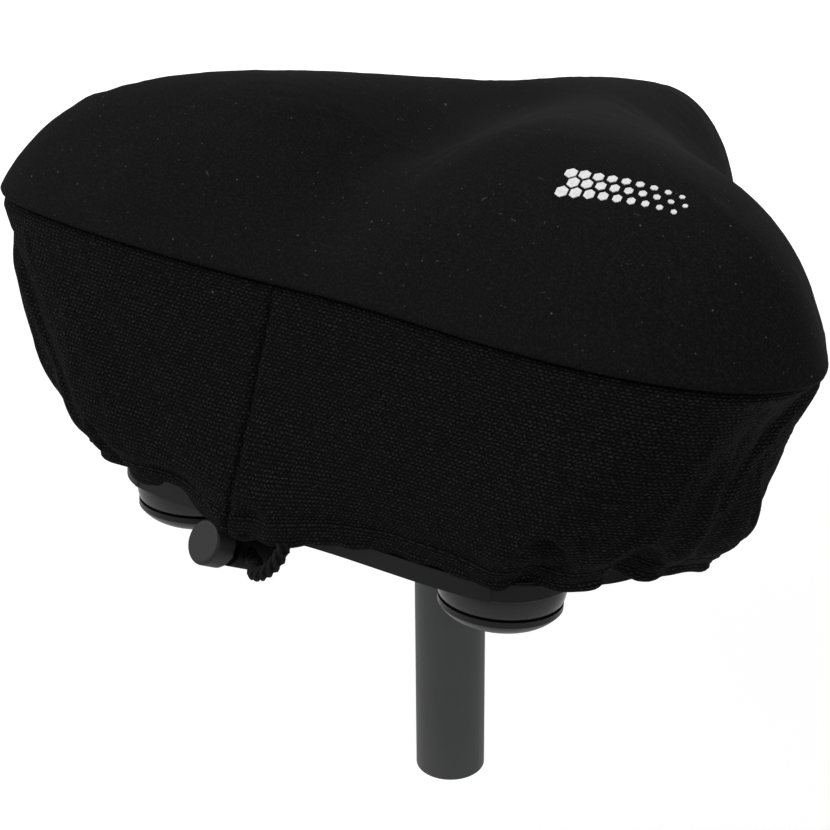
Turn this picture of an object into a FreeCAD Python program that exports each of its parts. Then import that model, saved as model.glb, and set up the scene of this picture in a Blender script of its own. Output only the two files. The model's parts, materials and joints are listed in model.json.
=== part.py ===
import FreeCAD, Part
import math
import os

# A bicycle saddle with two rear elastomer bumpers, under a slip-on gel cover, on a short seat post.
# Row frame: origin at the middle of the post's lower end, +Y towards the nose, +X to the rider's
# right, +Z up. Everything above the tilt bolt is drawn level in the saddle frame, whose origin is on
# the centre plane at the mid-height of the rear plate, and is then tilted about the bolt.
# All sizes are in millimetres.

# ---------------------------------------------------------------- driving dimensions: post and clamp
POST_DIAMETER = 22.2
POST_WALL = 2.0
SEAT_STEP = 0.3             # how far the post is turned down where the collar sits
SEAT_RUNOUT = 1.6           # how far the turned seat runs below the collar
BOLT_HEIGHT = 84.5          # tilt bolt above the post's lower end
BOLT_AHEAD = 17.8           # tilt bolt ahead of the post's axis
SADDLE_TILT = 7.6           # degrees, nose down

COLLAR_WALL = 3.2
COLLAR_HEIGHT = 19.0
COLLAR_SPLIT = 6.0          # the pinch gap between the collar's two lugs
LUG_DIAMETER = 25.0
POST_TOP_PROUD = 1.0        # post end above the collar

BOLT_DIAMETER = 8.0
NUT_FLATS = 13.0
NUT_HEIGHT = 6.5
WASHER_DIAMETER = 17.0
WASHER_THICKNESS = 1.6
THREAD_PROUD = 2.0          # bolt end beyond its nut

RAIL_DIAMETER = 7.0
RAIL_SPACING = 44.0         # centre to centre in the clamp
RAIL_ABOVE_BOLT = 10.5
CHEEK_LENGTH = 26.0
CHEEK_TOP = 5.6             # cheek above the rail's centre
CHEEK_THICKNESS = 6.5       # outer cheek, at the rail
CHEEK_SPLIT = 1.0           # gap between an inner and an outer cheek
CHEEK_NECK = 2.0            # cheek's jaw starts this far above the bolt
CHEEK_CORNER = 2.5
CHEEK_CHAMFER = 0.8
TOOTH_COUNT = 24
TOOTH_DEPTH = 0.7
TOOTH_FILL = 0.8            # share of the pitch that a tooth fills
TOOTH_INSIDE = 2.5          # inner end of a tooth, outside the bolt
TOOTH_OUTSIDE = 0.6         # outer end of a tooth, inside the lug's rim
TOOTH_RING = 0.2            # thickness of the low ring that joins the teeth

# ---------------------------------------------------------------- driving dimensions: rails and bumpers
PLATE_THICKNESS = 3.0
BUMPER_SPACING = 104.8
BUMPER_BEHIND = 56.0        # bumper axes behind the saddle frame's origin
BOLT_FORWARD = 21.0         # tilt bolt ahead of the saddle frame's origin
RAIL_FLARE_Y = -18.0        # where the rails leave the clamp's straight
RAIL_RISE_Y = 58.0          # where they start to climb to the nose
RAIL_END_X = 30.5
RAIL_END_Y = -52.0
NOSE_BAR_Y = 106.0
NOSE_BAR_Z = 15.0
NOSE_BAR_HALF = 12.5
RAIL_BEND = 30.0
NOSE_BEND = 8.0

EYE_INSIDE = 2.5            # rim of the plate's eye, inside the cap's rim
BRIDGE_BEHIND = 6.0         # edges of the plate's bridge from the bumpers' axes
BRIDGE_AHEAD = 12.0
WAIST_RADIUS = 30.0         # round cut in the bridge's front edge
WAIST_AHEAD = 25.0          # its centre ahead of that edge
PLATE_HOLE_ROOM = 1.2       # radial, round a bumper bolt

BUMPER_DIAMETER = 35.3
BUMPER_HEIGHT = 7.6
BUMPER_FOOT_IN = 2.2        # how far the bulged side draws in at the foot and at the head
BUMPER_HEAD_IN = 1.6
BUMPER_BULGE_AT = 0.4       # share of the height where it bulges most
BUMPER_BORE_ROOM = 0.6      # radial, round the bolt
CAP_DIAMETER = 34.0
CAP_DEPTH = 6.0
CAP_GAP = 0.6               # between the rear plate and the cap under it
CAP_RIM = 1.6               # straight part of the cap's side
CAP_FLOOR_SHARE = 0.55      # flat of the bowl's floor, as a share of the cap's radius
BUMPER_BOLT_DIAMETER = 8.0
BUMPER_BOLT_REACH = 24.0    # bolt end above the rear plate
BOLT_SEAT = 2.3             # bolt head's seat below the cap's rim
BOLT_HEAD_HEIGHT = 3.2
BOLT_HEAD_RADIUS = 6.4
BOLT_SOCKET = 5.0           # across the flats
HEAD_ROOM = 0.5             # radial, round the head
SOCKET_FLOOR = 1.0
INSERT_DIAMETER = 13.0
INSERT_LENGTH = 14.0
INSERT_ABOVE = 1.0          # lower end of the insert above the bumper
BOSS_WALL = 3.5

# ---------------------------------------------------------------- driving dimensions: base, soft parts
RIM_Z = 76.9                # seam between the cover's top and its skirt
BELLY_Z = 48.7              # where the skirt hangs fullest
LOW_Z = 28.1                # where it starts to turn under
HEM_Z = 14.3                # middle of the cover's rolled hem
SHELL_EDGE_Z = 9.0          # lower edge of the base shell
SHELL_TOP_Z = 42.0
SHELL_FLARE_Z = 18.0        # where its side starts to flare, above the hem
SHELL_ELBOW = 11.0          # height of the flare's fullest part above its start
SHELL_ELBOW_SHARE = 0.6     # how far it has flared there
SHELL_WALL = 3.0
SHELL_CORNER = 3.0          # extra thickness inside the top's edge
RIB_THICKNESS = 2.4
RIB_DEPTH = 9.0
LONG_RIBS = (-14, 14)
CROSS_RIBS = (-30, 2, 34, 66, 92)
LIP_BOTTOM = 4.9            # rear lip of the base shell
LIP_TOP = 10.3
LIP_REACH = 60.0            # half of the lip's width
LIP_AHEAD = 10.5            # front of the lip behind the bumpers' axes
LIP_FOOT_IN = 1.4           # lip's lower and upper edge inside the hem's outline
LIP_HEAD_IN = 1.0
CUP_WALL = 1.6
CUP_BOTTOM = 6.1
CUP_ROOM = 0.7              # radial, round the bumper

NOSE_BLOCK_REACH = 14.0     # nose block and clip, ahead of and behind the cross bar
NOSE_STRAIGHT_SHARE = 0.8   # share of the bend that the cross bar's straight gives up
CLIP_WALL = 2.6
CLIP_FLANGE = 3.0
CLIP_GAP = 0.02
NOSE_SCREW = 3.5
NOSE_SCREW_LENGTH = 13.0
NOSE_SCREW_OFFSET = 10.4    # screw axes from the cross bar
NOSE_SCREW_HEAD = 3.4       # radius
NOSE_SCREW_HEAD_HEIGHT = 2.2
NOSE_SCREW_DOME = 1.0

CROWN_RISE = 32.6           # crown above the rim, before the lobes and the valley
LOBE_RISE = 9.5
NECK_RISE = 6.1
VALLEY_DEPTH = 14.5
REAR_DIP = 8.0
NOSE_FALL = 3.6
SKIN_THICKNESS = 1.2
SKIN_WRAP = 5.0             # how far the skin comes down past the shell's top
PAD_OVERHANG = 2.9          # saddle's own padding outside the shell's top
PAD_LOW = 8.0               # its lowest outline below the shell's top
PAD_WAIST_Z = 56.0
PAD_WAIST_IN = 7.0          # inside the skirt at the waist
PAD_RIM_IN = 12.0           # inside the rim, at the padding's own shoulder
PAD_SHOULDER_DROP = 7.0
TOP_CLOTH = 2.0             # laminated stretch cloth of the cover's top
SKIRT_CLOTH = 1.6
COVER_PADDING = 20.0        # from the cover's top surface down to the saddle's own skin
GEL_LENGTH = 84.0
GEL_WIDTH = 54.0
GEL_SPLAY = 32.0            # degrees, long axes closing towards the nose
GEL_ASIDE = 60.0
GEL_BEHIND = 28.0
GEL_THICKNESS = 8.0
GEL_DEPTH = 6.0             # below the cover's top surface

CORD_DIAMETER = 4.2
HEM_ROOM = 0.3              # radial, round the cord in the hem
HEM_CLOTH = 0.8
HEM_TUCK = 1.8              # how far the skirt turns in over the hem
BUTTON_DIAMETER = 13.0
BUTTON_LENGTH = 7.0
LOCK_DIAMETER = 10.8
LOCK_LENGTH = 15.5
STEM_DIAMETER = 8.2
BUTTON_TRAVEL = 3.0
LOCK_END_WALL = 1.5
LOCK_MOUTH = 2.0            # barrel's open end to the cord hole
BARREL_CORNER = 1.8
BUTTON_CORNER = 1.0
CORD_ROOM = 0.25            # radial, round the cord in the barrel
STEM_ROOM = 0.2             # round the cord in the stem's slot
SPRING_WIRE = 0.6
SPRING_TURNS = 3
SPRING_PACKED = 2.6         # spring's length when the button is pressed home

SOFT_GAP = 0.3              # between a soft part and its neighbour
SEAM_HALF = 0.05            # half of the line between the skirt's two sides
RUNNING_GAP = 0.1           # radial, where a piece turns or slides in another
FIT_GAP = 0.05              # radial, where a piece is pressed or screwed in

# Half outlines, from the rear centre round the rider's right side to the nose tip.
RIM = [(0, -80), (50, -81.5), (92, -79.5), (118, -70), (129.5, -52), (123, -27.5), (110, -2.5),
       (87, 21.5), (66, 49), (49, 77), (38, 103), (27.5, 127), (16.5, 146), (0, 153)]
BELLY = [(0, -79), (46, -81), (84.5, -81.5), (108, -69), (114, -48.5), (112.5, -23), (100, 3),
         (82, 28), (63, 53), (48.5, 79), (38.5, 103), (29, 126), (17, 143.2), (0, 149.7)]
LOW = [(0, -79.5), (43, -82), (77.5, -81), (99.5, -66), (110.5, -46), (102.5, -20), (88, 5),
       (70, 28), (54, 53), (43, 78.5), (34.5, 101.5), (26, 122.7), (15.2, 138.7), (0, 144.3)]
HEM = [(0, -79), (40, -78.5), (70, -74), (90, -61), (97, -42), (91, -18), (78, 7),
       (63, 30), (49, 54), (39, 78), (31, 100), (23, 120), (13, 134), (0, 139)]
SHELL_TOP = [(0, -67), (46, -68.5), (79, -67), (99, -59), (106, -45), (102, -25), (89, -3),
             (71, 20), (53, 47), (39, 75), (30, 101), (22, 122), (12, 136), (0, 141)]
SHELL_EDGE = [(0, -70.5), (40, -70), (64, -66), (80, -55), (86, -40), (80, -20), (68, 2),
              (54, 24), (40.5, 49), (30, 75), (24.3, 97), (17.5, 115), (8.5, 126), (0, 129)]

# Middle line of the drawcord's tail, from the hem beside the rear seam to the lock's cord hole.
CORD_ROUTE = [(-1.0, -79.7, 12.0), (-0.4, -82.8, 8.2), (-1.2, -84.2, 2.4), (-5.0, -84.8, -2.6),
              (-10.4, -82.0, -5.6)]
LOCK_FACE = (-29.1, -82.0, -1.5)
LOCK_HEADING = 14.0         # degrees from straight ahead towards the rider's right
LOCK_DIP = 22.0             # degrees down
CORD_STRAIGHT = 4.8         # last corner of the cord's route outside the barrel
KNOT_STANDS_OFF = 0.8       # end of the cord outside the barrel's other side
KNOT_SHARE = 0.72           # knot's radius as a share of the cord's thickness

NARROWEST = 0.35            # least share of a width that stays when an outline is shrunk

# ---------------------------------------------------------------- values that follow
V = FreeCAD.Vector
POST_R = POST_DIAMETER / 2
SEAT_R = POST_R - SEAT_STEP
RAIL_R = RAIL_DIAMETER / 2
BOLT_HOLE_R = BOLT_DIAMETER / 2 + RUNNING_GAP
RAIL_X = RAIL_SPACING / 2
RAIL_Z = -PLATE_THICKNESS / 2 - RAIL_R
BOLT_Z = RAIL_Z - RAIL_ABOVE_BOLT
BUMPER_X = BUMPER_SPACING / 2
BUMPER_Y = -BUMPER_BEHIND
PLATE_TOP = PLATE_THICKNESS / 2
BUMPER_TOP = PLATE_TOP + BUMPER_HEIGHT
CAP_TOP = -PLATE_TOP - CAP_GAP
SHELL_CEILING = SHELL_TOP_Z - SHELL_WALL
NOSE_STRAIGHT = NOSE_BAR_HALF - NOSE_BEND * NOSE_STRAIGHT_SHARE
COLLAR_R = POST_R + FIT_GAP + COLLAR_WALL
LUG_FACE = POST_R + FIT_GAP + COLLAR_WALL
CHEEK_FACE = LUG_FACE + 2 * TOOTH_DEPTH + RUNNING_GAP
CHEEK_OUTER = RAIL_X + CHEEK_SPLIT / 2 + CHEEK_THICKNESS
WASHER_OUTER = CHEEK_OUTER + WASHER_THICKNESS
NUT_OUTER = WASHER_OUTER + NUT_HEIGHT
POST_LENGTH = BOLT_HEIGHT + COLLAR_HEIGHT / 2 + POST_TOP_PROUD
HEM_BORE = CORD_DIAMETER + 2 * HEM_ROOM
HEM_DIAMETER = HEM_BORE + 2 * HEM_CLOTH


def tilted(shape):
    """Move a shape from the level saddle frame to its tilted place about the clamp bolt."""
    to_bolt = FreeCAD.Placement(V(0, -BOLT_FORWARD, -BOLT_Z), FreeCAD.Rotation())
    turn = FreeCAD.Placement(V(0, BOLT_AHEAD, BOLT_HEIGHT),
                             FreeCAD.Rotation(V(1, 0, 0), -SADDLE_TILT))
    placed = shape.copy()
    placed.Placement = turn.multiply(to_bolt).multiply(placed.Placement)
    return placed


# ---------------------------------------------------------------- small shapes
def rod(radius, start, end):
    """A round bar between two points."""
    along = V(*end) - V(*start)
    return Part.makeCylinder(radius, along.Length, V(*start), along)


def tube(outer, inner, start, end):
    """A round tube between two points."""
    return rod(outer, start, end).cut(rod(inner, start, end))


def block(low, high):
    """A box between two corners."""
    size = V(*high) - V(*low)
    return Part.makeBox(size.x, size.y, size.z, V(*low))


def hexagon(flats, start, end):
    """A hexagonal bar between two points on the X axis's direction."""
    corner = flats / math.sqrt(3)
    x, y, z = start
    angles = [math.radians(60 * i) for i in range(6)]
    points = [V(x, y + corner * math.cos(a), z + corner * math.sin(a)) for a in angles]
    face = Part.Face(Part.makePolygon(points + points[:1]))
    return face.extrude(V(end[0] - x, 0, 0))


def everything_below(height):
    """A block that covers the whole saddle below a height."""
    reach = 2 * RIM[-1][1]
    return block((-reach, -reach, -reach), (reach, reach, height))


def union(shapes):
    """Join shapes into one and clean their shared flat and round faces."""
    return shapes[0].multiFuse(shapes[1:]).removeSplitter()


def mirrored_x(shape):
    """The same shape on the rider's other side."""
    return shape.mirror(V(0, 0, 0), V(1, 0, 0))


def polyline(points):
    """Straight edges through points."""
    return [Part.LineSegment(a, b).toShape() for a, b in zip(points, points[1:])]


# ---------------------------------------------------------------- bent wire and cord paths
def bent_path(points, radii):
    """A wire of straight runs joined by tangent arcs, one radius for each inner point."""
    edges = []
    start = points[0]
    for i in range(1, len(points) - 1):
        corner = points[i]
        before = (points[i - 1] - corner).normalize()
        after = (points[i + 1] - corner).normalize()
        turn = math.pi - before.getAngle(after)
        reach = radii[i - 1] * math.tan(turn / 2)
        middle_way = (before + after).normalize()
        centre = corner + middle_way * (radii[i - 1] / math.cos(turn / 2))
        first, last = corner + before * reach, corner + after * reach
        edges.append(Part.LineSegment(start, first).toShape())
        edges.append(Part.Arc(first, centre - middle_way * radii[i - 1], last).toShape())
        start = last
    edges.append(Part.LineSegment(start, points[-1]).toShape())
    return Part.Wire(edges)


def largest_radii(points):
    """The largest arc radius that each inner point's two runs allow."""
    radii = []
    for before, corner, after in zip(points, points[1:], points[2:]):
        turn = math.pi - (before - corner).getAngle(after - corner)
        shorter = min((before - corner).Length, (after - corner).Length)
        radii.append(0.45 * shorter / math.tan(turn / 2))
    return radii


def piped(path, radius, start, direction):
    """A round section swept along a path."""
    circle = Part.Wire([Part.makeCircle(radius, start, direction)])
    return path.makePipeShell([circle], True, True)


# ---------------------------------------------------------------- outlines and lofts
def inset(half, distance):
    """Move each point of a half outline inwards, square to the line through its neighbours.

    A point of the narrow nose stops short of the centre plane, and the tip stays ahead of it.
    """
    moved = []
    for i, (x, y) in enumerate(half):
        before = half[i - 1] if i > 0 else (-half[1][0], half[1][1])
        after = half[i + 1] if i + 1 < len(half) else (-half[-2][0], half[-2][1])
        along_x, along_y = after[0] - before[0], after[1] - before[1]
        length = math.hypot(along_x, along_y)
        moved_x = max(x - distance * along_y / length, NARROWEST * x)
        moved.append((moved_x, y + distance * along_x / length))
    tip_ahead = half[-1][1] - half[-2][1]
    moved[-1] = (0, max(moved[-1][1], moved[-2][1] + NARROWEST * tip_ahead))
    return moved


def between(first, second, share):
    """A half outline part of the way from one half outline to another."""
    return [(a[0] + (b[0] - a[0]) * share, a[1] + (b[1] - a[1]) * share)
            for a, b in zip(first, second)]


def closed_points(half, z):
    """All the points of an outline, both sides, at one height."""
    both = half + [(-x, y) for x, y in reversed(half[1:-1])]
    return [V(x, y, z) for x, y in both]


def ring(half, z):
    """A smooth closed wire through an outline's points."""
    curve = Part.BSplineCurve()
    curve.interpolate(Points=closed_points(half, z), PeriodicFlag=True)
    return Part.Wire([curve.toShape()])


def lofted(levels):
    """A closed solid through outlines, given as (half outline, height)."""
    return Part.makeLoft([ring(half, z) for half, z in levels], True, False)


# ---------------------------------------------------------------- the cover's crowned top
def swell(x, y, centre_x, centre_y, spread_x, spread_y):
    """A smooth round hill of height 1."""
    return math.exp(-((x - centre_x) / spread_x) ** 2 - ((y - centre_y) / spread_y) ** 2)


def crown_height(x, y):
    """Height of the cover's top: two sitting lobes, a valley between them and a raised neck."""
    lobes = LOBE_RISE * (swell(x, y, 53, -40.5, 65.5, 74) + swell(x, y, -53, -40.5, 65.5, 74))
    neck = NECK_RISE * swell(x, y, 0, 57, 49, 63)
    valley = VALLEY_DEPTH * swell(x, y, 0, -37, 22, 39) + REAR_DIP * swell(x, y, 0, -85, 40, 30)
    nose_fall = NOSE_FALL * min(1.0, max(0.0, (y - 95) / 60)) ** 1.5
    return RIM_Z + CROWN_RISE + lobes + neck - valley - nose_fall


def below_crown(drop):
    """Everything below the cover's top surface, lowered by drop."""
    reach_x, rear, front = 144, -96, 176
    across, along = 12, 16
    grid = []
    for i in range(across + 1):
        x = -reach_x + 2 * reach_x * i / across
        row = []
        for j in range(along + 1):
            y = rear + (front - rear) * j / along
            row.append(V(x, y, crown_height(x, y) - drop))
        grid.append(row)
    surface = Part.BSplineSurface()
    surface.interpolate(grid)
    return surface.toShape().extrude(V(0, 0, -140))


SHOULDER = [(0, 0), (4, 11), (12, 23), (22, 34), (24, 47)]      # (inset, height above the rim)


def dome(shrink, drop):
    """The cover's top as a filled form, shrunk at its sides and lowered at its top."""
    levels = [(inset(RIM, step + shrink), RIM_Z + rise) for step, rise in SHOULDER]
    return lofted(levels).common(below_crown(drop))


def skirt_outline(z):
    """The skirt's half outline at a height, a cubic through its four named outlines."""
    named = [(RIM_Z, RIM), (BELLY_Z, BELLY), (LOW_Z, LOW), (HEM_Z, HEM)]
    weights = [math.prod((z - other) / (height - other) for other, _ in named if other != height)
               for height, _ in named]
    return [tuple(sum(weight * outline[i][axis] for weight, (_, outline) in zip(weights, named))
                  for axis in (0, 1)) for i in range(len(RIM))]


# ---------------------------------------------------------------- post and clamp
def make_seatpost():
    """Tubular post, cut square at its lower end and turned down to a shoulder for the collar."""
    shoulder = BOLT_HEIGHT - COLLAR_HEIGHT / 2 - SEAT_RUNOUT
    foot, top = (0, 0, 0), (0, 0, POST_LENGTH)
    bar = rod(POST_R, foot, (0, 0, shoulder)).fuse(rod(SEAT_R, (0, 0, shoulder), top))
    return bar.cut(rod(POST_R - POST_WALL, foot, top))


def on_tilt_axis(radius, start_x, end_x):
    """A round bar on the tilt bolt's axis, in the row frame."""
    return rod(radius, (start_x, BOLT_AHEAD, BOLT_HEIGHT), (end_x, BOLT_AHEAD, BOLT_HEIGHT))


def make_clamp_collar():
    """Split collar on the post, with two lugs that the tilt bolt draws together."""
    low, high = BOLT_HEIGHT - COLLAR_HEIGHT / 2, BOLT_HEIGHT + COLLAR_HEIGHT / 2
    band = rod(COLLAR_R, (0, 0, low), (0, 0, high))
    lug = on_tilt_axis(LUG_DIAMETER / 2, -LUG_FACE, LUG_FACE)
    neck = block((-LUG_FACE, 0, low), (LUG_FACE, BOLT_AHEAD, high))
    body = union([band, neck, lug])
    bore = rod(SEAT_R + RUNNING_GAP, (0, 0, 0), (0, 0, 2 * BOLT_HEIGHT))
    split = block((-COLLAR_SPLIT / 2, 0, 0), (COLLAR_SPLIT / 2, 2 * LUG_DIAMETER, 2 * BOLT_HEIGHT))
    body = body.cut(bore).cut(split).cut(on_tilt_axis(BOLT_HOLE_R, -2 * LUG_FACE, 2 * LUG_FACE))
    centre = (BOLT_AHEAD, BOLT_HEIGHT)
    return union([body] + [serration(side * LUG_FACE, side, centre) for side in (1, -1)])


def serration(x, side, centre):
    """A ring of radial V teeth standing on a lug's face at x, pointing to side."""
    inner = BOLT_DIAMETER / 2 + TOOTH_INSIDE
    outer = LUG_DIAMETER / 2 - TOOTH_OUTSIDE
    y, z = centre
    half = math.pi / TOOTH_COUNT * TOOTH_FILL
    teeth = []
    for i in range(TOOTH_COUNT):
        angle = 2 * math.pi * i / TOOTH_COUNT
        sections = []
        for reach in (inner, outer):
            foot = [V(x, y + reach * math.cos(angle + turn), z + reach * math.sin(angle + turn))
                    for turn in (-half, half)]
            tip = V(x + side * TOOTH_DEPTH, y + reach * math.cos(angle), z + reach * math.sin(angle))
            sections.append(Part.makePolygon([foot[0], tip, foot[1], foot[0]]))
        teeth.append(Part.makeLoft(sections, True, True))
    ring = tube(inner + 0.5, inner - 0.5, (x, y, z), (x + side * TOOTH_RING, y, z))
    return Part.Compound(teeth).fuse(ring)


def cheek(near, far):
    """One half of a rail cradle, on the rider's right, between two distances from the centre."""
    low, high = (near, BOLT_FORWARD, BOLT_Z), (far, BOLT_FORWARD, BOLT_Z)
    disc = rod(LUG_DIAMETER / 2, low, high)
    jaw = block((near, BOLT_FORWARD - CHEEK_LENGTH / 2, BOLT_Z + CHEEK_NECK),
                (far, BOLT_FORWARD + CHEEK_LENGTH / 2, RAIL_Z + CHEEK_TOP))
    crosswise = [e for e in jaw.Edges if abs(e.tangentAt(e.FirstParameter).x) > 0.99]
    jaw = jaw.makeFillet(CHEEK_CORNER, crosswise)
    groove = rod(RAIL_R + RUNNING_GAP, (RAIL_X, BOLT_FORWARD - CHEEK_LENGTH, RAIL_Z),
                 (RAIL_X, BOLT_FORWARD + CHEEK_LENGTH, RAIL_Z))
    return union([disc, jaw]).cut(groove).cut(rod(BOLT_HOLE_R, low, high))


def make_inner_cheek():
    """Inner rail cradle, with teeth that index on the collar's lug."""
    near = CHEEK_FACE
    body = cheek(near, RAIL_X - CHEEK_SPLIT / 2)
    return union([body, serration(near, -1, (BOLT_FORWARD, BOLT_Z))])


def make_outer_cheek():
    """Outer rail cradle, with a flat seat for the washer."""
    body = cheek(RAIL_X + CHEEK_SPLIT / 2, CHEEK_OUTER)
    outside = [e for e in body.Edges if e.BoundBox.XMin > CHEEK_OUTER - 1e-6]
    rim = [e for e in outside if e.Length > 2 * math.pi * BOLT_HOLE_R + CHEEK_CHAMFER]
    return body.makeChamfer(CHEEK_CHAMFER, rim)


def make_clamp_bolt():
    """Headless through bolt, threaded for a nut at each end."""
    reach = NUT_OUTER + THREAD_PROUD
    return on_tilt_axis(BOLT_DIAMETER / 2, -reach, reach)


def make_clamp_nuts():
    """A hexagon nut at each end of the bolt."""
    start, end = (WASHER_OUTER, BOLT_AHEAD, BOLT_HEIGHT), (NUT_OUTER, BOLT_AHEAD, BOLT_HEIGHT)
    nut = hexagon(NUT_FLATS, start, end).cut(rod(BOLT_DIAMETER / 2 + FIT_GAP, start, end))
    return Part.Compound([nut, mirrored_x(nut)])


def make_clamp_washers():
    """A plain washer under each nut."""
    washer = on_tilt_axis(WASHER_DIAMETER / 2, CHEEK_OUTER, WASHER_OUTER)
    washer = washer.cut(on_tilt_axis(BOLT_HOLE_R, CHEEK_OUTER, WASHER_OUTER))
    return Part.Compound([washer, mirrored_x(washer)])


# ---------------------------------------------------------------- rails, rear plate and bumpers
def make_rail_wire():
    """One steel wire: two rails through the clamp, climbing to a cross bar at the nose."""
    right = [V(RAIL_END_X, RAIL_END_Y, RAIL_Z), V(RAIL_X, RAIL_FLARE_Y, RAIL_Z),
             V(RAIL_X, RAIL_RISE_Y, RAIL_Z), V(NOSE_BAR_HALF, NOSE_BAR_Y, NOSE_BAR_Z)]
    left = [V(-p.x, p.y, p.z) for p in reversed(right)]
    radii = [RAIL_BEND, RAIL_BEND, NOSE_BEND, NOSE_BEND, RAIL_BEND, RAIL_BEND]
    path = bent_path(right + left, radii)
    return piped(path, RAIL_R, right[0], right[1] - right[0])


def on_bumper_axis(side, radius, low, high):
    """A round bar on one bumper's axis, between two heights."""
    return rod(radius, (side * BUMPER_X, BUMPER_Y, low), (side * BUMPER_X, BUMPER_Y, high))


def make_rear_plate():
    """Pressed steel plate that ties the rails and carries both bumpers."""
    front = BUMPER_Y + BRIDGE_AHEAD
    eye = CAP_DIAMETER / 2 - EYE_INSIDE
    eyes = [on_bumper_axis(side, eye, -PLATE_TOP, PLATE_TOP) for side in (1, -1)]
    bridge = block((-BUMPER_X, BUMPER_Y - BRIDGE_BEHIND, -PLATE_TOP), (BUMPER_X, front, PLATE_TOP))
    waist = rod(WAIST_RADIUS, (0, front + WAIST_AHEAD, -PLATE_TOP), (0, front + WAIST_AHEAD, PLATE_TOP))
    plate = union(eyes + [bridge]).cut(waist)
    for side in (1, -1):
        room = BUMPER_BOLT_DIAMETER / 2 + PLATE_HOLE_ROOM
        plate = plate.cut(on_bumper_axis(side, room, -PLATE_TOP, PLATE_TOP))
    return plate


def make_bumper(side):
    """Moulded elastomer ring between the rear plate and the base shell's cup."""
    radius = BUMPER_DIAMETER / 2
    bore = BUMPER_BOLT_DIAMETER / 2 + BUMPER_BORE_ROOM
    foot = V(radius - BUMPER_FOOT_IN, 0, PLATE_TOP)
    widest = V(radius, 0, PLATE_TOP + BUMPER_HEIGHT * BUMPER_BULGE_AT)
    head = V(radius - BUMPER_HEAD_IN, 0, BUMPER_TOP)
    bulge = Part.Arc(foot, widest, head).toShape()
    inner = polyline([head, V(bore, 0, BUMPER_TOP), V(bore, 0, PLATE_TOP), foot])
    solid = Part.Face(Part.Wire([bulge] + inner)).revolve(V(0, 0, 0), V(0, 0, 1), 360)
    solid.translate(V(side * BUMPER_X, BUMPER_Y, 0))
    return solid


def make_bumper_cap(side):
    """Bowl-shaped lower cap that hides the bumper bolt's head."""
    radius = CAP_DIAMETER / 2
    bore = BUMPER_BOLT_DIAMETER / 2 + FIT_GAP
    head = BOLT_HEAD_RADIUS + HEAD_ROOM
    seat = CAP_TOP - BOLT_SEAT
    floor = CAP_TOP - CAP_DEPTH
    side_low = V(radius, 0, CAP_TOP - CAP_RIM)
    foot = V(radius * CAP_FLOOR_SHARE, 0, floor)
    bowl = Part.Arc(side_low, V(radius * 0.86, 0, CAP_TOP - CAP_DEPTH * 0.66), foot).toShape()
    rim = [V(bore, 0, CAP_TOP), V(radius, 0, CAP_TOP), side_low]
    section = polyline([foot, V(head, 0, floor), V(head, 0, seat), V(bore, 0, seat)] + rim)
    solid = Part.Face(Part.Wire(section + [bowl])).revolve(V(0, 0, 0), V(0, 0, 1), 360)
    solid.translate(V(side * BUMPER_X, BUMPER_Y, 0))
    return solid


def make_bumper_bolts():
    """Socket-head bolts that hold cap, plate, bumper and base together."""
    seat = CAP_TOP - BOLT_SEAT
    face = seat - BOLT_HEAD_HEIGHT
    bolts = []
    for side in (1, -1):
        shank = on_bumper_axis(side, BUMPER_BOLT_DIAMETER / 2, seat - SOCKET_FLOOR, BUMPER_BOLT_REACH)
        head = on_bumper_axis(side, BOLT_HEAD_RADIUS, face, seat)
        corner = BOLT_SOCKET / 2 / math.cos(math.radians(30))
        centre = V(side * BUMPER_X, BUMPER_Y, face)
        turns = [math.radians(60 * i) for i in range(7)]
        outline = [centre + V(math.cos(turn), math.sin(turn), 0) * corner for turn in turns]
        socket = Part.Face(Part.makePolygon(outline)).extrude(V(0, 0, BOLT_HEAD_HEIGHT - SOCKET_FLOOR))
        bolts.append(union([shank, head]).cut(socket))
    return Part.Compound(bolts)


def make_bumper_inserts():
    """Threaded brass sleeves moulded into the base shell's bosses."""
    low = BUMPER_TOP + INSERT_ABOVE
    high = low + INSERT_LENGTH
    bore = BUMPER_BOLT_DIAMETER / 2 + FIT_GAP
    return Part.Compound([on_bumper_axis(side, INSERT_DIAMETER / 2, low, high)
                          .cut(on_bumper_axis(side, bore, low, high)) for side in (1, -1)])


# ---------------------------------------------------------------- base shell and nose
def shell_body():
    """The tray's outside with its hollow cut out, and that hollow."""
    elbow = between(SHELL_EDGE, SHELL_TOP, SHELL_ELBOW_SHARE)
    inner_edge = inset(SHELL_EDGE, SHELL_WALL)
    outer = lofted([(SHELL_EDGE, SHELL_EDGE_Z), (SHELL_EDGE, SHELL_FLARE_Z),
                    (elbow, SHELL_FLARE_Z + SHELL_ELBOW), (SHELL_TOP, SHELL_TOP_Z)])
    hollow = lofted([(inner_edge, SHELL_EDGE_Z - 1), (inner_edge, SHELL_FLARE_Z),
                     (inset(elbow, SHELL_WALL), SHELL_FLARE_Z + SHELL_ELBOW),
                     (inset(SHELL_TOP, SHELL_WALL + SHELL_CORNER), SHELL_CEILING)])
    return outer.cut(hollow), hollow


def shell_ribs(hollow):
    """Ribs along and across under the tray's ceiling."""
    low, high = SHELL_CEILING - RIB_DEPTH, SHELL_CEILING + 1
    half = RIB_THICKNESS / 2
    rear, front = SHELL_TOP[1][1], SHELL_TOP[-2][1]
    ribs = [block((x - half, rear, low), (x + half, front, high)) for x in LONG_RIBS]
    reach = max(x for x, _ in SHELL_TOP)
    ribs += [block((-reach, y - half, low), (reach, y + half, high)) for y in CROSS_RIBS]
    return [rib.common(hollow) for rib in ribs]


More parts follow.
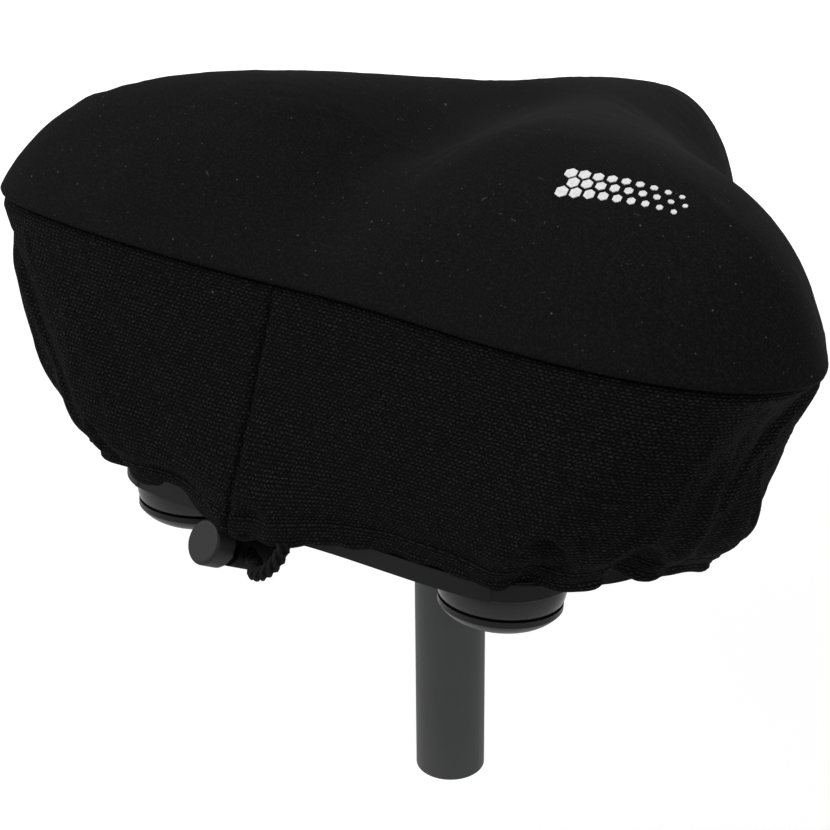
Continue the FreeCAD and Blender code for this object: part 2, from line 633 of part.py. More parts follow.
def make_base_shell():
    """Moulded base: a ribbed tray with bumper cups, a rear lip and a nose socket."""
    body, hollow = shell_body()
    lip = lofted([(inset(HEM, LIP_FOOT_IN), LIP_BOTTOM), (inset(HEM, LIP_HEAD_IN), LIP_TOP)])
    behind = block((-LIP_REACH, 2 * HEM[0][1], 0), (LIP_REACH, BUMPER_Y - LIP_AHEAD, 2 * LIP_TOP))
    additions = shell_ribs(hollow) + [lip.common(behind), nose_block()]
    cup = BUMPER_DIAMETER / 2 + CUP_ROOM
    boss = INSERT_DIAMETER / 2 + BOSS_WALL
    insert_top = BUMPER_TOP + INSERT_ABOVE + INSERT_LENGTH
    for side in (1, -1):
        additions.append(on_bumper_axis(side, cup + CUP_WALL, CUP_BOTTOM, BUMPER_TOP + CUP_WALL))
        additions.append(on_bumper_axis(side, boss, BUMPER_TOP, SHELL_CEILING + 1))
    for addition in additions:
        body = body.fuse(addition)
    for side in (1, -1):
        body = body.cut(on_bumper_axis(side, cup, 0, BUMPER_TOP))
        body = body.cut(on_bumper_axis(side, INSERT_DIAMETER / 2, BUMPER_TOP - 1, insert_top))
    return body.cut(nose_bar_slot()).cut(Part.Compound(nose_screw_holes()))


def nose_block():
    """Solid nose underside with the half bore that turns on the rails' cross bar."""
    return block((-NOSE_STRAIGHT, NOSE_BAR_Y - NOSE_BLOCK_REACH, NOSE_BAR_Z),
                 (NOSE_STRAIGHT, NOSE_BAR_Y + NOSE_BLOCK_REACH, SHELL_CEILING + 1))


def nose_bar_slot():
    """Room for the cross bar, all round its running gap."""
    return rod(RAIL_R + RUNNING_GAP, (-NOSE_BAR_HALF, NOSE_BAR_Y, NOSE_BAR_Z),
               (NOSE_BAR_HALF, NOSE_BAR_Y, NOSE_BAR_Z))


def make_nose_clip():
    """Steel strap that holds the cross bar up in the nose block."""
    saddle = rod(RAIL_R + CLIP_WALL, (-NOSE_STRAIGHT, NOSE_BAR_Y, NOSE_BAR_Z),
                 (NOSE_STRAIGHT, NOSE_BAR_Y, NOSE_BAR_Z))
    flange = block((-NOSE_STRAIGHT, NOSE_BAR_Y - NOSE_BLOCK_REACH, NOSE_BAR_Z - CLIP_FLANGE),
                   (NOSE_STRAIGHT, NOSE_BAR_Y + NOSE_BLOCK_REACH, NOSE_BAR_Z))
    body = union([saddle, flange])
    low = V(-NOSE_BAR_HALF, 0, NOSE_BAR_Z - 2 * RAIL_DIAMETER)
    body = body.common(block(low, (NOSE_BAR_HALF, 2 * NOSE_BAR_Y, NOSE_BAR_Z - CLIP_GAP)))
    return body.cut(nose_bar_slot()).cut(Part.Compound(nose_screw_holes()))


def nose_screw_rods(radius, low, high):
    """Bars on the nose clip's two screw axes, between two heights."""
    return [rod(radius, (0, y, low), (0, y, high))
            for y in (NOSE_BAR_Y - NOSE_SCREW_OFFSET, NOSE_BAR_Y + NOSE_SCREW_OFFSET)]


def nose_screw_holes():
    """Holes for the two screws, through the clip and into the block."""
    start = NOSE_BAR_Z - CLIP_FLANGE
    return nose_screw_rods(NOSE_SCREW / 2 + FIT_GAP, start - 30, start + 30)


def make_nose_clip_screws():
    """Two self-tapping screws through the nose clip into the nose block."""
    start = NOSE_BAR_Z - CLIP_FLANGE
    low = start - NOSE_SCREW_HEAD_HEIGHT
    bodies = nose_screw_rods(NOSE_SCREW / 2, start, start + NOSE_SCREW_LENGTH)
    screws = []
    for body, head in zip(bodies, nose_screw_rods(NOSE_SCREW_HEAD, low, start)):
        rim = [e for e in head.Edges if e.BoundBox.ZMax < low + 0.1]
        screws.append(union([body, head.makeFillet(NOSE_SCREW_DOME, rim)]))
    return Part.Compound(screws)


# ---------------------------------------------------------------- the saddle's own padding
def saddle_form(shrink, drop):
    """The bare saddle's padded form, shrunk at its sides and lowered at its top."""
    levels = [(inset(SHELL_TOP, shrink - PAD_OVERHANG), SHELL_TOP_Z - PAD_LOW),
              (inset(SHELL_TOP, shrink - PAD_OVERHANG - 0.4), SHELL_TOP_Z + 1),
              (inset(skirt_outline(PAD_WAIST_Z), PAD_WAIST_IN + shrink), PAD_WAIST_Z)]
    for step, rise in SHOULDER[:4]:
        outline = inset(RIM, step * 0.8 + PAD_RIM_IN + shrink)
        levels.append((outline, RIM_Z - PAD_SHOULDER_DROP + rise * 0.9))
    return lofted(levels).common(below_crown(COVER_PADDING + drop))


def make_saddle_skin():
    """Thin sheet skin over the foam, wrapped down round the base shell's edge."""
    shell = saddle_form(0, 0).cut(saddle_form(SKIN_THICKNESS, SKIN_THICKNESS))
    return shell.cut(everything_below(SHELL_TOP_Z - SKIN_WRAP))


def make_saddle_foam():
    """Moulded foam on the base shell."""
    form = saddle_form(SKIN_THICKNESS + SOFT_GAP, SKIN_THICKNESS + SOFT_GAP)
    return form.cut(everything_below(SHELL_TOP_Z + SOFT_GAP))


# ---------------------------------------------------------------- the slip-on cover
def make_cover_top():
    """Laminated stretch top of the cover, down to the seam."""
    return dome(0, 0).cut(dome(TOP_CLOTH, TOP_CLOTH))


def gel_pad(side, grow=0):
    """One gel pad, or its pocket where it grows all round."""
    outline = Part.Ellipse(V(0, 0, 0), GEL_LENGTH / 2 + grow, GEL_WIDTH / 2 + grow).toShape()
    column = Part.Face(Part.Wire([outline])).extrude(V(0, 0, 200))
    column.rotate(V(0, 0, 0), V(0, 0, 1), 90 + side * GEL_SPLAY)
    column.translate(V(side * GEL_ASIDE, -GEL_BEHIND, 0))
    under = below_crown(GEL_DEPTH + GEL_THICKNESS + grow)
    return column.common(dome(GEL_DEPTH - grow, GEL_DEPTH - grow)).cut(under)


def make_cover_foam():
    """Foam layer of the cover, with pockets for the gel pads."""
    form = dome(TOP_CLOTH + SOFT_GAP, TOP_CLOTH + SOFT_GAP).cut(saddle_form(-SOFT_GAP, -SOFT_GAP))
    return form.cut(gel_pad(1, SOFT_GAP)).cut(gel_pad(-1, SOFT_GAP))


def make_skirt(side):
    """One side of the knitted skirt, from the rear seam round to the nose seam."""
    heights = [RIM_Z - 0.05, 63, BELLY_Z, 38, LOW_Z, 21.5]
    levels = [(skirt_outline(z), z) for z in heights]
    levels.append((inset(HEM, HEM_TUCK), HEM_Z + HEM_DIAMETER / 2 + 0.1))
    outer = lofted(levels)
    past_ends = (0.5, 0, 0, 0, 0, 0, -0.5)
    inner = lofted([(inset(outline, SKIRT_CLOTH), z + extra)
                    for (outline, z), extra in zip(levels, past_ends)])
    reach = 2 * RIM[-1][1]
    half = block((SEAM_HALF, -reach, -reach), (reach, reach, reach))
    shape = outer.cut(inner).common(half)
    return shape if side > 0 else mirrored_x(shape)


def hem_path():
    """Middle line of the rolled hem: straight runs and tangent arcs round the opening."""
    points = closed_points(inset(HEM, HEM_DIAMETER / 2), HEM_Z)
    count = len(points)
    start = (points[0] + points[1]) * 0.5
    loop = [start] + [points[(i + 1) % count] for i in range(count)] + [start]
    return bent_path(loop, largest_radii(loop)), start, points[1] - points[0]


def make_hem_channel():
    """Rolled hem: a cloth tube that the drawcord runs in."""
    path, start, direction = hem_path()
    bore = piped(path, HEM_BORE / 2, start, direction)
    return piped(path, HEM_DIAMETER / 2, start, direction).cut(bore)


def make_drawcord():
    """The drawcord inside the hem, all the way round."""
    path, start, direction = hem_path()
    return piped(path, CORD_DIAMETER / 2, start, direction)


# ---------------------------------------------------------------- drawcord tail and cord lock
def lock_axes():
    """The lock's own directions: into the barrel, across it along the cord hole, and up."""
    heading, dip = math.radians(LOCK_HEADING), math.radians(LOCK_DIP)
    along = V(math.sin(heading) * math.cos(dip), math.cos(heading) * math.cos(dip), -math.sin(dip))
    across = V(math.cos(heading), -math.sin(heading), 0)
    return along, across, across.cross(along)


def lock_placed(shape):
    """Move a shape drawn in the lock's own frame to the lock's place on the saddle.

    That frame has its origin on the button's face, +Y into the barrel and +X along the cord hole.
    """
    along, across, up = lock_axes()
    matrix = FreeCAD.Matrix(across.x, along.x, up.x, LOCK_FACE[0],
                            across.y, along.y, up.y, LOCK_FACE[1],
                            across.z, along.z, up.z, LOCK_FACE[2],
                            0, 0, 0, 1)
    moved = shape.copy()
    moved.Placement = FreeCAD.Placement(matrix).multiply(moved.Placement)
    return moved


BARREL_START = BUTTON_LENGTH + BUTTON_TRAVEL
BARREL_END = BARREL_START + LOCK_LENGTH
CORD_HOLE_Y = BARREL_START + LOCK_MOUTH + CORD_DIAMETER / 2
STEM_END = BARREL_END - LOCK_END_WALL - BUTTON_TRAVEL - SPRING_PACKED


def cord_slot(low_y, high_y, half_height):
    """A round-ended slot through the lock, square to its barrel."""
    reach = BUTTON_DIAMETER
    centres = (low_y + half_height, high_y - half_height)
    ends = [rod(half_height, (-reach, y, 0), (reach, y, 0)) for y in centres]
    middle = block((-reach, centres[0], -half_height), (reach, centres[1], half_height))
    return union(ends + [middle])


def make_lock_barrel():
    """Barrel of the cord lock: closed at its front end, with a hole across it for the cord."""
    barrel = rod(LOCK_DIAMETER / 2, (0, BARREL_START, 0), (0, BARREL_END, 0))
    front = [e for e in barrel.Edges if e.BoundBox.YMin > BARREL_END - 0.01]
    barrel = barrel.makeFillet(BARREL_CORNER, front)
    bore = rod(STEM_DIAMETER / 2 + RUNNING_GAP, (0, 0, 0), (0, BARREL_END - LOCK_END_WALL, 0))
    hole = rod(CORD_DIAMETER / 2 + CORD_ROOM, (-LOCK_DIAMETER, CORD_HOLE_Y, 0),
               (LOCK_DIAMETER, CORD_HOLE_Y, 0))
    return barrel.cut(bore).cut(hole)


def make_lock_button():
    """Sprung button of the cord lock: a wide cap and a slotted stem that grips the cord."""
    cap = rod(BUTTON_DIAMETER / 2, (0, 0, 0), (0, BUTTON_LENGTH, 0))
    edges = [e for e in cap.Edges if e.Length > 1 and abs(e.BoundBox.YMax - e.BoundBox.YMin) < 0.01]
    cap = cap.makeFillet(BUTTON_CORNER, edges)
    stem = rod(STEM_DIAMETER / 2, (0, BUTTON_LENGTH - 1, 0), (0, STEM_END, 0))
    grip = CORD_HOLE_Y + CORD_DIAMETER / 2 + FIT_GAP
    relief = CORD_HOLE_Y - CORD_DIAMETER / 2 - BUTTON_TRAVEL - STEM_ROOM
    slot = cord_slot(relief, grip, CORD_DIAMETER / 2 + STEM_ROOM)
    return union([cap, stem]).cut(slot)


def make_lock_spring():
    """Coil spring between the stem and the barrel's closed end."""
    low, high = STEM_END + SPRING_WIRE, BARREL_END - LOCK_END_WALL - SPRING_WIRE
    radius = STEM_DIAMETER / 2 - SPRING_WIRE
    corners = 6 * SPRING_TURNS
    points = []
    for i in range(corners + 1):
        turn = i * math.pi / 3
        along = low + (high - low) * i / corners
        points.append(V(radius * math.cos(turn), along, radius * math.sin(turn)))
    path = bent_path(points, largest_radii(points))
    return piped(path, SPRING_WIRE / 2, points[0], points[1] - points[0])


def cord_points():
    """The tail's route: down from the hem, round its droop, across the lock and out to the knot."""
    along, across, _ = lock_axes()
    hole = V(*LOCK_FACE) + along * CORD_HOLE_Y
    exit_right = hole + across * (LOCK_DIAMETER / 2 + CORD_STRAIGHT)
    knot = hole - across * (LOCK_DIAMETER / 2 + KNOT_STANDS_OFF)
    return [V(*p) for p in CORD_ROUTE] + [exit_right, knot]


def make_cord_tail():
    """The visible tail of the drawcord."""
    points = cord_points()
    radii = largest_radii(points)
    print("cord tail radii, mm:", [round(r, 1) for r in radii])
    path = bent_path(points, radii)
    print("cord tail length, mm:", round(path.Length, 1))
    return piped(path, CORD_DIAMETER / 2, points[0], points[1] - points[0])


def make_cord_knot():
    """The overhand knot that keeps the tail from pulling out of the lock."""
    _, across, _ = lock_axes()
    radius = CORD_DIAMETER * KNOT_SHARE
    return Part.makeSphere(radius, cord_points()[-1] - across * (radius + FIT_GAP))


# ---------------------------------------------------------------- all the pieces
IN_ROW_FRAME = {
    "seatpost": make_seatpost,
    "clamp_collar": make_clamp_collar,
    "clamp_bolt": make_clamp_bolt,
    "clamp_nuts": make_clamp_nuts,
    "clamp_washers": make_clamp_washers,
}
IN_SADDLE_FRAME = {
    "rail_wire": make_rail_wire,
    "rear_plate": make_rear_plate,
    "bumper_bolts": make_bumper_bolts,
    "bumper_inserts": make_bumper_inserts,
    "base_shell": make_base_shell,
    "nose_clip": make_nose_clip,
    "nose_clip_screws": make_nose_clip_screws,
    "saddle_foam": make_saddle_foam,
    "saddle_skin": make_saddle_skin,
    "cover_foam": make_cover_foam,
    "cover_top": make_cover_top,
    "hem_channel": make_hem_channel,
    "drawcord": make_drawcord,
    "cord_tail": make_cord_tail,
    "cord_knot": make_cord_knot,
}
ON_LOCK = {
    "cord_lock_barrel": make_lock_barrel,
    "cord_lock_button": make_lock_button,
    "cord_lock_spring": make_lock_spring,
}
PAIRED = {"bumper": make_bumper, "bumper_cap": make_bumper_cap, "skirt": make_skirt, "gel_pad": gel_pad}
CHEEKS = {"clamp_inner_cheek": make_inner_cheek, "clamp_outer_cheek": make_outer_cheek}
BOTH_SIDES = {"left": -1, "right": 1}


def all_pieces():
    """Every node's name and its solid in the row frame."""
    for name, make in IN_ROW_FRAME.items():
        yield name, make()
    for name, make in IN_SADDLE_FRAME.items():
        yield name, tilted(make())
    for name, make in ON_LOCK.items():
        yield name, tilted(lock_placed(make()))
    for side_name, side in BOTH_SIDES.items():
        for name, make in PAIRED.items():
            yield name + "_" + side_name, tilted(make(side))
        for name, make in CHEEKS.items():
            piece = make() if side > 0 else mirrored_x(make())
            yield name + "_" + side_name, tilted(piece)


os.makedirs("parts", exist_ok=True)
for node, solid in all_pieces():
    print(node, "solids", len(solid.Solids), "valid", solid.isValid(), "volume", round(solid.Volume, 1))
    solid.exportStep("parts/" + node + ".step")
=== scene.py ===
"""A wide bicycle saddle in its slip-on gel cover, laid out as a Blender add-on and run as a script."""
import json
import math

import bmesh
import bpy
import numpy as np
from mathutils import Matrix, Vector
from mathutils.kdtree import KDTree


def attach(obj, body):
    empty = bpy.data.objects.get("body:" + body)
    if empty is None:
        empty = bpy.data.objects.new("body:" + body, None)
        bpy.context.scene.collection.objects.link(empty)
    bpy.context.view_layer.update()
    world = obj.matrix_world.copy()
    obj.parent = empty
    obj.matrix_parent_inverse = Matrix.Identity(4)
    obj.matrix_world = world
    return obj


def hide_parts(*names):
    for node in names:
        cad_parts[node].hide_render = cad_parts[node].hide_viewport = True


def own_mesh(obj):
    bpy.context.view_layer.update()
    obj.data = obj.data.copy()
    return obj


bl_info = {
    "name": "Covered bicycle saddle",
    "version": (1, 0, 0),
    "blender": (4, 5, 0),
    "location": "3D View > Sidebar > Saddle",
    "description": "Makes the cloth, cord, finishes and studio of a covered bicycle saddle",
    "category": "Add Mesh",
}

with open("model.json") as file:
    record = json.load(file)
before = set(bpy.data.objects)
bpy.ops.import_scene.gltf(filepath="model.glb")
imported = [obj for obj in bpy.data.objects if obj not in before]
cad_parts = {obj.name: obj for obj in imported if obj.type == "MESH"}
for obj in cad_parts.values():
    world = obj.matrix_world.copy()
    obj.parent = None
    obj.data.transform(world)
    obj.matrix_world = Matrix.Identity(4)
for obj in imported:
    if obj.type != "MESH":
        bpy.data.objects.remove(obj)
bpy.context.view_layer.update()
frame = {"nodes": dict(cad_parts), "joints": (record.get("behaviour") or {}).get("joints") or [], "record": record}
NODES = frame["nodes"]
JOINTS = {joint["name"]: joint for joint in frame["joints"]}
MM = 0.001
MERGE_DISTANCE = 0.00005

# The saddle's own level frame: its origin is on the middle plane, in the gap under the bumpers.
NOSE_BAR = Vector((0, 106, 15)) * MM
SLIDE_AXIS = Vector(JOINTS["rail_slide"]["axis"])
SADDLE_TILT = math.atan2(-SLIDE_AXIS.z, SLIDE_AXIS.y)
SADDLE = (Matrix.Translation(Vector(JOINTS["suspension"]["pos_m"]))
          @ Matrix.Rotation(-SADDLE_TILT, 4, "X") @ Matrix.Translation(-NOSE_BAR))

# Half outlines of the skirt from the rear centre round the rider's right to the nose, in millimetres:
# the rim seam, the fullest level, where it turns under, and the hem.
RIM = [(0, -80), (50, -81.5), (92, -79.5), (118, -70), (129.5, -52), (123, -27.5), (110, -2.5),
       (87, 21.5), (66, 49), (49, 77), (38, 103), (27.5, 127), (16.5, 146), (0, 153)]
BELLY = [(0, -79), (46, -81), (84.5, -81.5), (108, -69), (114, -48.5), (112.5, -23), (100, 3),
         (82, 28), (63, 53), (48.5, 79), (38.5, 103), (29, 126), (17, 143.2), (0, 149.7)]
LOW = [(0, -79.5), (43, -82), (77.5, -81), (99.5, -66), (110.5, -46), (102.5, -20), (88, 5),
       (70, 28), (54, 53), (43, 78.5), (34.5, 101.5), (26, 122.7), (15.2, 138.7), (0, 144.3)]
HEM = [(0, -79), (40, -78.5), (70, -74), (90, -61), (97, -42), (91, -18), (78, 7),
       (63, 30), (49, 54), (39, 78), (31, 100), (23, 120), (13, 134), (0, 139)]
RIM_Z, BELLY_Z, LOW_Z, HEM_Z = 76.9, 48.7, 28.1, 14.3

# The top's height above the rim, how far its lobes and neck rise, and how far its valley and nose sink.
CROWN_RISE, LOBE_RISE, NECK_RISE = 32.6, 9.5, 6.1
VALLEY_DEPTH, REAR_DIP, FRONT_DIP, NOSE_FALL = 16.5, 8, 6.5, 3.6

# The skirt's gathers, on places counted like the outlines' points, negative to the rider's left: the place
# at the hem, the place where it fades, the share of the height that it climbs, how suddenly it starts, its
# half width and its height in millimetres (an inward fold is negative).
FOLDS = [(1.98, 1.95, 0.25, 0.85, 8.0, -5.6), (2.98, 2.90, 0.23, 0.8, 6.5, -5.0),
         (2.50, 2.56, 0.34, 0.2, 5.5, 0.7), (3.38, 3.62, 1.0, 0.0, 3.2, 2.2),
         (4.7, 5.2, 0.97, 0.85, 24.0, 3.0), (2.80, 3.18, 0.62, 0.0, 4.0, 1.6),
         (1.62, 1.70, 0.25, 0.2, 7.0, 1.0), (4.3, 4.25, 0.5, 0.0, 12.0, 5.0),
         (-0.28, -0.3, 0.14, 0.5, 6.5, -2.2), (-1.05, -1.2, 0.13, 0.6, 15.0, -2.0),
         (-1.9, -2.0, 0.2, 0.6, 6.0, -3.0), (-2.7, -2.9, 0.75, 0.0, 4.5, 1.6),
         (-3.3, -3.4, 0.24, 0.6, 5.0, -2.0), (-2.3, -2.5, 0.4, 0.1, 5.0, 1.9),
         (0.75, 0.8, 0.12, 0.3, 9.0, -0.8), (-3.2, -3.3, 0.9, 0.8, 18.0, 3.0),
         (-3.1, -3.2, 0.34, 0.0, 18.0, -10.0)]
# Between these two places, round the front, small gathers come from a seeded draw.
SMALL_FOLDS = 4.3, 22.1
FOLD_SEED = 12

# The drawcord's tail: from the hem, round its droop and across the lock.
CORD_ROUTE = [(-0.8, -80.2, 12.0), (0.4, -83.2, 8.0), (-0.8, -84.8, 1.6), (-5.6, -85.0, -3.4),
              (-11.4, -82.2, -5.8)]
STRANDS = 3
LOCK_FACE = Vector((-29.1, -82.0, -1.5))
# The lock's heading and dip, and its directions: into the barrel, along its cord hole, and up.
LOCK_HEADING, LOCK_DIP = math.radians(14.0), math.radians(22.0)
INTO_LOCK = Vector((math.sin(LOCK_HEADING) * math.cos(LOCK_DIP), math.cos(LOCK_HEADING) * math.cos(LOCK_DIP),
                    -math.sin(LOCK_DIP)))
CORD_WAY = Vector((math.cos(LOCK_HEADING), -math.sin(LOCK_HEADING), 0))
LOCK_UP = CORD_WAY.cross(INTO_LOCK)
LOCK_RADIUS = 5.4
CORD_HOLE = 14.1
KNOT_TURNS, KNOT_POINTS, KNOT_RADIUS, KNOT_LENGTH, KNOT_CORD = 2.25, 18, 1.7, 3.0, 0.00155
TAIL_STEP, KNOT_STEP = 0.0003, 0.0004

# The bumpers: their axis, their bulged side and top, and how much of their height a full sinking leaves.
BUMPER_AXIS = (52.4, -56.0)
BUMPER_TOP, BUMPER_WIDEST, BUMPER_RADIUS, BUMPER_KEEP = 9.05, 2.8, 17.65, 0.74
PLATE_TOP = 1.6
# The base's rear lip where it goes on round a bumper's cup: its foot and head, its radius and its turn.
LIP_FOOT, LIP_HEAD, LIP_SWEEP, LIP_WALL = 4.9, 10.3, 20.6, 1.6
LIP_START, LIP_END = -76, 40

# Rows and columns of the cover's cloth, fine for the looks and coarse for the cloth solver.
COLUMNS, TOP_ROWS, SKIRT_ROWS = 720, 46, 60
COARSE_COLUMNS, COARSE_ROWS = 360, 31
CLOTH_THICKNESS = 0.0012
# The skirt's seam grooves, the dent above its hem's channel, and how far the cord pulls it out and down, in
# millimetres, and the shares of the way down where the dent and the stitches run.
GROOVE_DEPTH, DENT_DEPTH, CORD_PULL, CORD_DRAW, HEM_SINK = 1.2, 1.1, 7.0, 6.6, 0.4
DENT_SHARE, STITCH_SHARE = 0.93, 0.94
PRINT_PLACE, PRINT_TURN = (75.0, -54.0, 112.5), math.radians(8.0)

FRAMES = 20
PADDING_PRESSURE, PADDING_VOXEL = 40.0, 0.005
LIGHT_CLOTH = {"quality": 6, "mass": 0.005, "tension_stiffness": 2.0, "compression_stiffness": 2.0,
               "shear_stiffness": 0.7, "bending_stiffness": 0.0005}

# Each lamp's place, width and share of the main power.
LAMPS = {"key": ((-1.5, -0.9, 1.3), 1.2, 1.7), "fill": ((1.5, -0.6, 1.1), 1.2, 0.5),
         "top": ((0.0, 0.3, 2.0), 1.6, 0.8), "back": ((-0.3, 1.8, 0.9), 1.2, 0.3)}
LAMP_GAIN = 4
LAMP_AIM = Vector((0, 0, 0.15))
WORLD_LIGHT = 0.4
FLOOR_REACH = 6.0


# ---- sizes and colours
def number(name, description, default, **kind):
    """A plain number, or one of a kind."""
    return bpy.props.FloatProperty(name=name, description=description, default=default, **kind)


def size(name, description, default):
    """A length in metres."""
    return number(name, description, default, min=0.0, subtype="DISTANCE", unit="LENGTH", precision=4)


def angle(name, description, degrees):
    """An angle."""
    return number(name, description, math.radians(degrees), subtype="ANGLE", unit="ROTATION")


def colour(name, description, default):
    """A linear colour."""
    return bpy.props.FloatVectorProperty(name=name, description=description, default=default, size=3,
                                         min=0.0, max=1.0, subtype="COLOR")


class CoverSettings(bpy.types.PropertyGroup):
    """The slip-on cover's sizes and colours."""

    edge_reach: size("Edge roll", "How far in from the seam the top rises to its full height", 0.053)
    edge_fullness: number("Edge fullness", "Smaller is rounder just above the seam", 0.83, min=0.0)
    edge_roundness: number("Edge roundness", "How evenly the roll is spread", 2.78, min=0.0)
    swelling: size("Swelling", "How much smaller the padding starts before it swells", 0.0008)
    swelling_cap: size("Swelling cap", "The most that padding or cloth may move as it settles", 0.003)
    seam_depth: size("Seam depth", "How far the two cloths tuck in at the rim seam", 0.0016)
    fold_share: number("Gathers", "How strong the gathers beside the hem are", 1.0, min=0.0)
    spare_cloth: number("Spare cloth", "Extra length of cloth drawn into the gathers", 0.1, min=0.0)
    stitch_pitch: size("Stitch pitch", "Distance between stitches along the hem", 0.0032)
    stitch_length: size("Stitch length", "Length of one stitch", 0.0024)
    thread: size("Thread", "Thickness of the sewing thread", 0.0004)
    cell_size: size("Printed cell", "Width of one printed honeycomb cell", 0.0030)
    cell_gap: size("Printed gap", "Bare cloth between two printed cells", 0.0006)
    hem_radius: size("Hem radius", "Half of the rolled hem's thickness", 0.0032)
    knit_width: size("Knit width", "Width of one knitted stitch", 0.0015)
    knit_height: size("Knit height", "Height of one knitted row", 0.0011)
    top_colour: colour("Top cloth", "Colour of the smooth stretch cloth", (0.0050, 0.0050, 0.0052))
    knit_colour: colour("Skirt knit", "Colour of the coarse knit", (0.0062, 0.0062, 0.0064))
    print_colour: colour("Printed patch", "Colour of the small printed patch", (0.9, 0.9, 0.9))


class CordSettings(bpy.types.PropertyGroup):
    """The drawcord and its tail."""

    diameter: size("Cord diameter", "Thickness of the braided cord", 0.0042)
    braid_pitch: size("Braid pitch", "Length of one turn of the braid", 0.0090)
    braid_relief: size("Braid relief", "Height of the braid's strands", 0.0003)
    cord_colour: colour("Cord", "Colour of the braided cord", (0.0060, 0.0060, 0.0062))


class HardwareSettings(bpy.types.PropertyGroup):
    """Colours of the hard pieces."""

    post_colour: colour("Post", "Colour of the post", (0.066, 0.068, 0.067))
    plastic_colour: colour("Base", "Colour of the moulded base", (0.0048, 0.0048, 0.005))
    bumper_colour: colour("Bumper", "Colour of the bumpers", (0.0065, 0.0065, 0.0072))
    cap_colour: colour("Bumper cap", "Colour of the caps under the bumpers", (0.0085, 0.0085, 0.009))
    lock_colour: colour("Cord lock", "Colour of the cord lock's button", (0.0125, 0.0125, 0.0128))
    # Painted shade: the barrel is the same plastic as the button, coloured darker because it lies in the hem's
    # shadow.
    barrel_shaded_colour: colour("Lock barrel", "Colour of the cord lock's barrel", (0.0055, 0.0055, 0.0056))


class StageSettings(bpy.types.PropertyGroup):
    """Camera, floor and lamps."""

    lens: number("Lens", "Focal length on a 36 mm sensor", 82.41, min=1.0, subtype="DISTANCE_CAMERA")
    place: bpy.props.FloatVectorProperty(name="Camera", description="Where the camera stands", size=3,
                                         default=(0.27758, -0.43412, 0.37099), subtype="TRANSLATION",
                                         unit="LENGTH")
    azimuth: angle("Azimuth", "Camera's turn round the saddle", 33.762)
    elevation: angle("Elevation", "Camera's angle above the horizon", 25.474)
    roll: angle("Roll", "Camera's roll", -0.56)
    floor_drop: size("Floor drop", "Floor below the post's lower end", 0.30)
    lamp_power: number("Lamp power", "Power of the main lamp", 2.7, min=0.0, unit="POWER")


# ---- shared shape tools
def in_row(points):
    """Points in the saddle's level frame, in millimetres, as row-frame points in metres."""
    matrix = np.array(SADDLE)
    points = np.asarray(points, float)
    return (points.reshape(-1, 3) * MM @ matrix[:3, :3].T + matrix[:3, 3]).reshape(points.shape)


def raised(flat, height):
    """Flat places, or flat directions, with a height added to each."""
    return np.concatenate([flat, height[..., None]], -1)


def unit(rows):
    """Directions of length one."""
    return rows / np.linalg.norm(rows, axis=1)[:, None]


def run_along(line):
    """The distance along a line at each of its points."""
    return np.concatenate([[0], np.cumsum(np.linalg.norm(np.diff(line, axis=0), axis=1))])


def full_turn(count):
    """Evenly spaced angles round a circle."""
    return np.linspace(0, 2 * math.pi, count + 1)[:-1]


def smooth_step(low, high, value):
    """From 0 at low to 1 at high, level at both ends."""
    t = np.clip((value - low) / (high - low), 0, 1)
    return t * t * (3 - 2 * t)


def swell(x, y, centre_x, centre_y, spread_x, spread_y):
    """A smooth hill of height one."""
    return np.exp(-((x - centre_x) / spread_x) ** 2 - ((y - centre_y) / spread_y) ** 2)


def ring_curve(half):
    """The closed smooth curve through a half outline and its mirror image, for places in 0..n."""
    points = np.array(list(half) + [(-x, y) for x, y in reversed(half[1:-1])], float)
    n = len(points)
    step = np.linalg.norm(np.roll(points, -1, 0) - points, axis=1)
    before = np.roll(step, 1)
    matrix = np.zeros((n, n))
    right = np.zeros((n, 2))
    for i in range(n):
        matrix[i, i - 1] += step[i]
        matrix[i, i] += 2 * (step[i] + before[i])
        matrix[i, (i + 1) % n] += before[i]
        ahead = (points[(i + 1) % n] - points[i]) / step[i]
        behind = (points[i] - points[i - 1]) / before[i]
        right[i] = 3 * (step[i] * behind + before[i] * ahead)
    slope = np.linalg.solve(matrix, right)

    def curve(place):
        place = np.mod(np.asarray(place, float), n)
        i = np.minimum(place.astype(int), n - 1)
        f = (place - i)[..., None]
        j = (i + 1) % n
        length = step[i][..., None]
        return ((1 + 2 * f) * (1 - f) ** 2 * points[i] + f * (1 - f) ** 2 * length * slope[i]
                + f * f * (3 - 2 * f) * points[j] + f * f * (f - 1) * length * slope[j])

    return curve


LEVELS = [(RIM_Z, ring_curve(RIM)), (BELLY_Z, ring_curve(BELLY)), (LOW_Z, ring_curve(LOW)),
          (HEM_Z, ring_curve(HEM))]
RIM_CURVE = LEVELS[0][1]
RING_POINTS = 2 * len(RIM) - 2
# Steps round the rim that measure its length, and that measure how near a point is to it.
RIM_STEPS, COARSE_RIM_STEPS = 4000, 1400


def skirt_ring(z, places):
    """The skirt's outline at a height: a cubic through its four named outlines."""
    total = np.zeros((len(places), 2))
    for height, curve in LEVELS:
        share = math.prod((z - other) / (height - other) for other, _ in LEVELS if other != height)
        total += share * curve(places)
    return total


def even_places(count):
    """Places on the rim, evenly spaced along its length, and that length in millimetres."""
    fine = np.linspace(0, RING_POINTS, RIM_STEPS + 1)
    run = run_along(RIM_CURVE(fine))
    return np.interp(np.arange(count) * run[-1] / count, run, fine), run[-1]


def seam_lift(x, y):
    """How far the rim seam lies above its level: the cover sits a little higher at the left rear."""
    rear = 1 - smooth_step(-50, 25, y)
    return rear * (-0.6 + 3.8 * smooth_step(5, 118, -x) - 2.1 * smooth_step(0, 90, x))


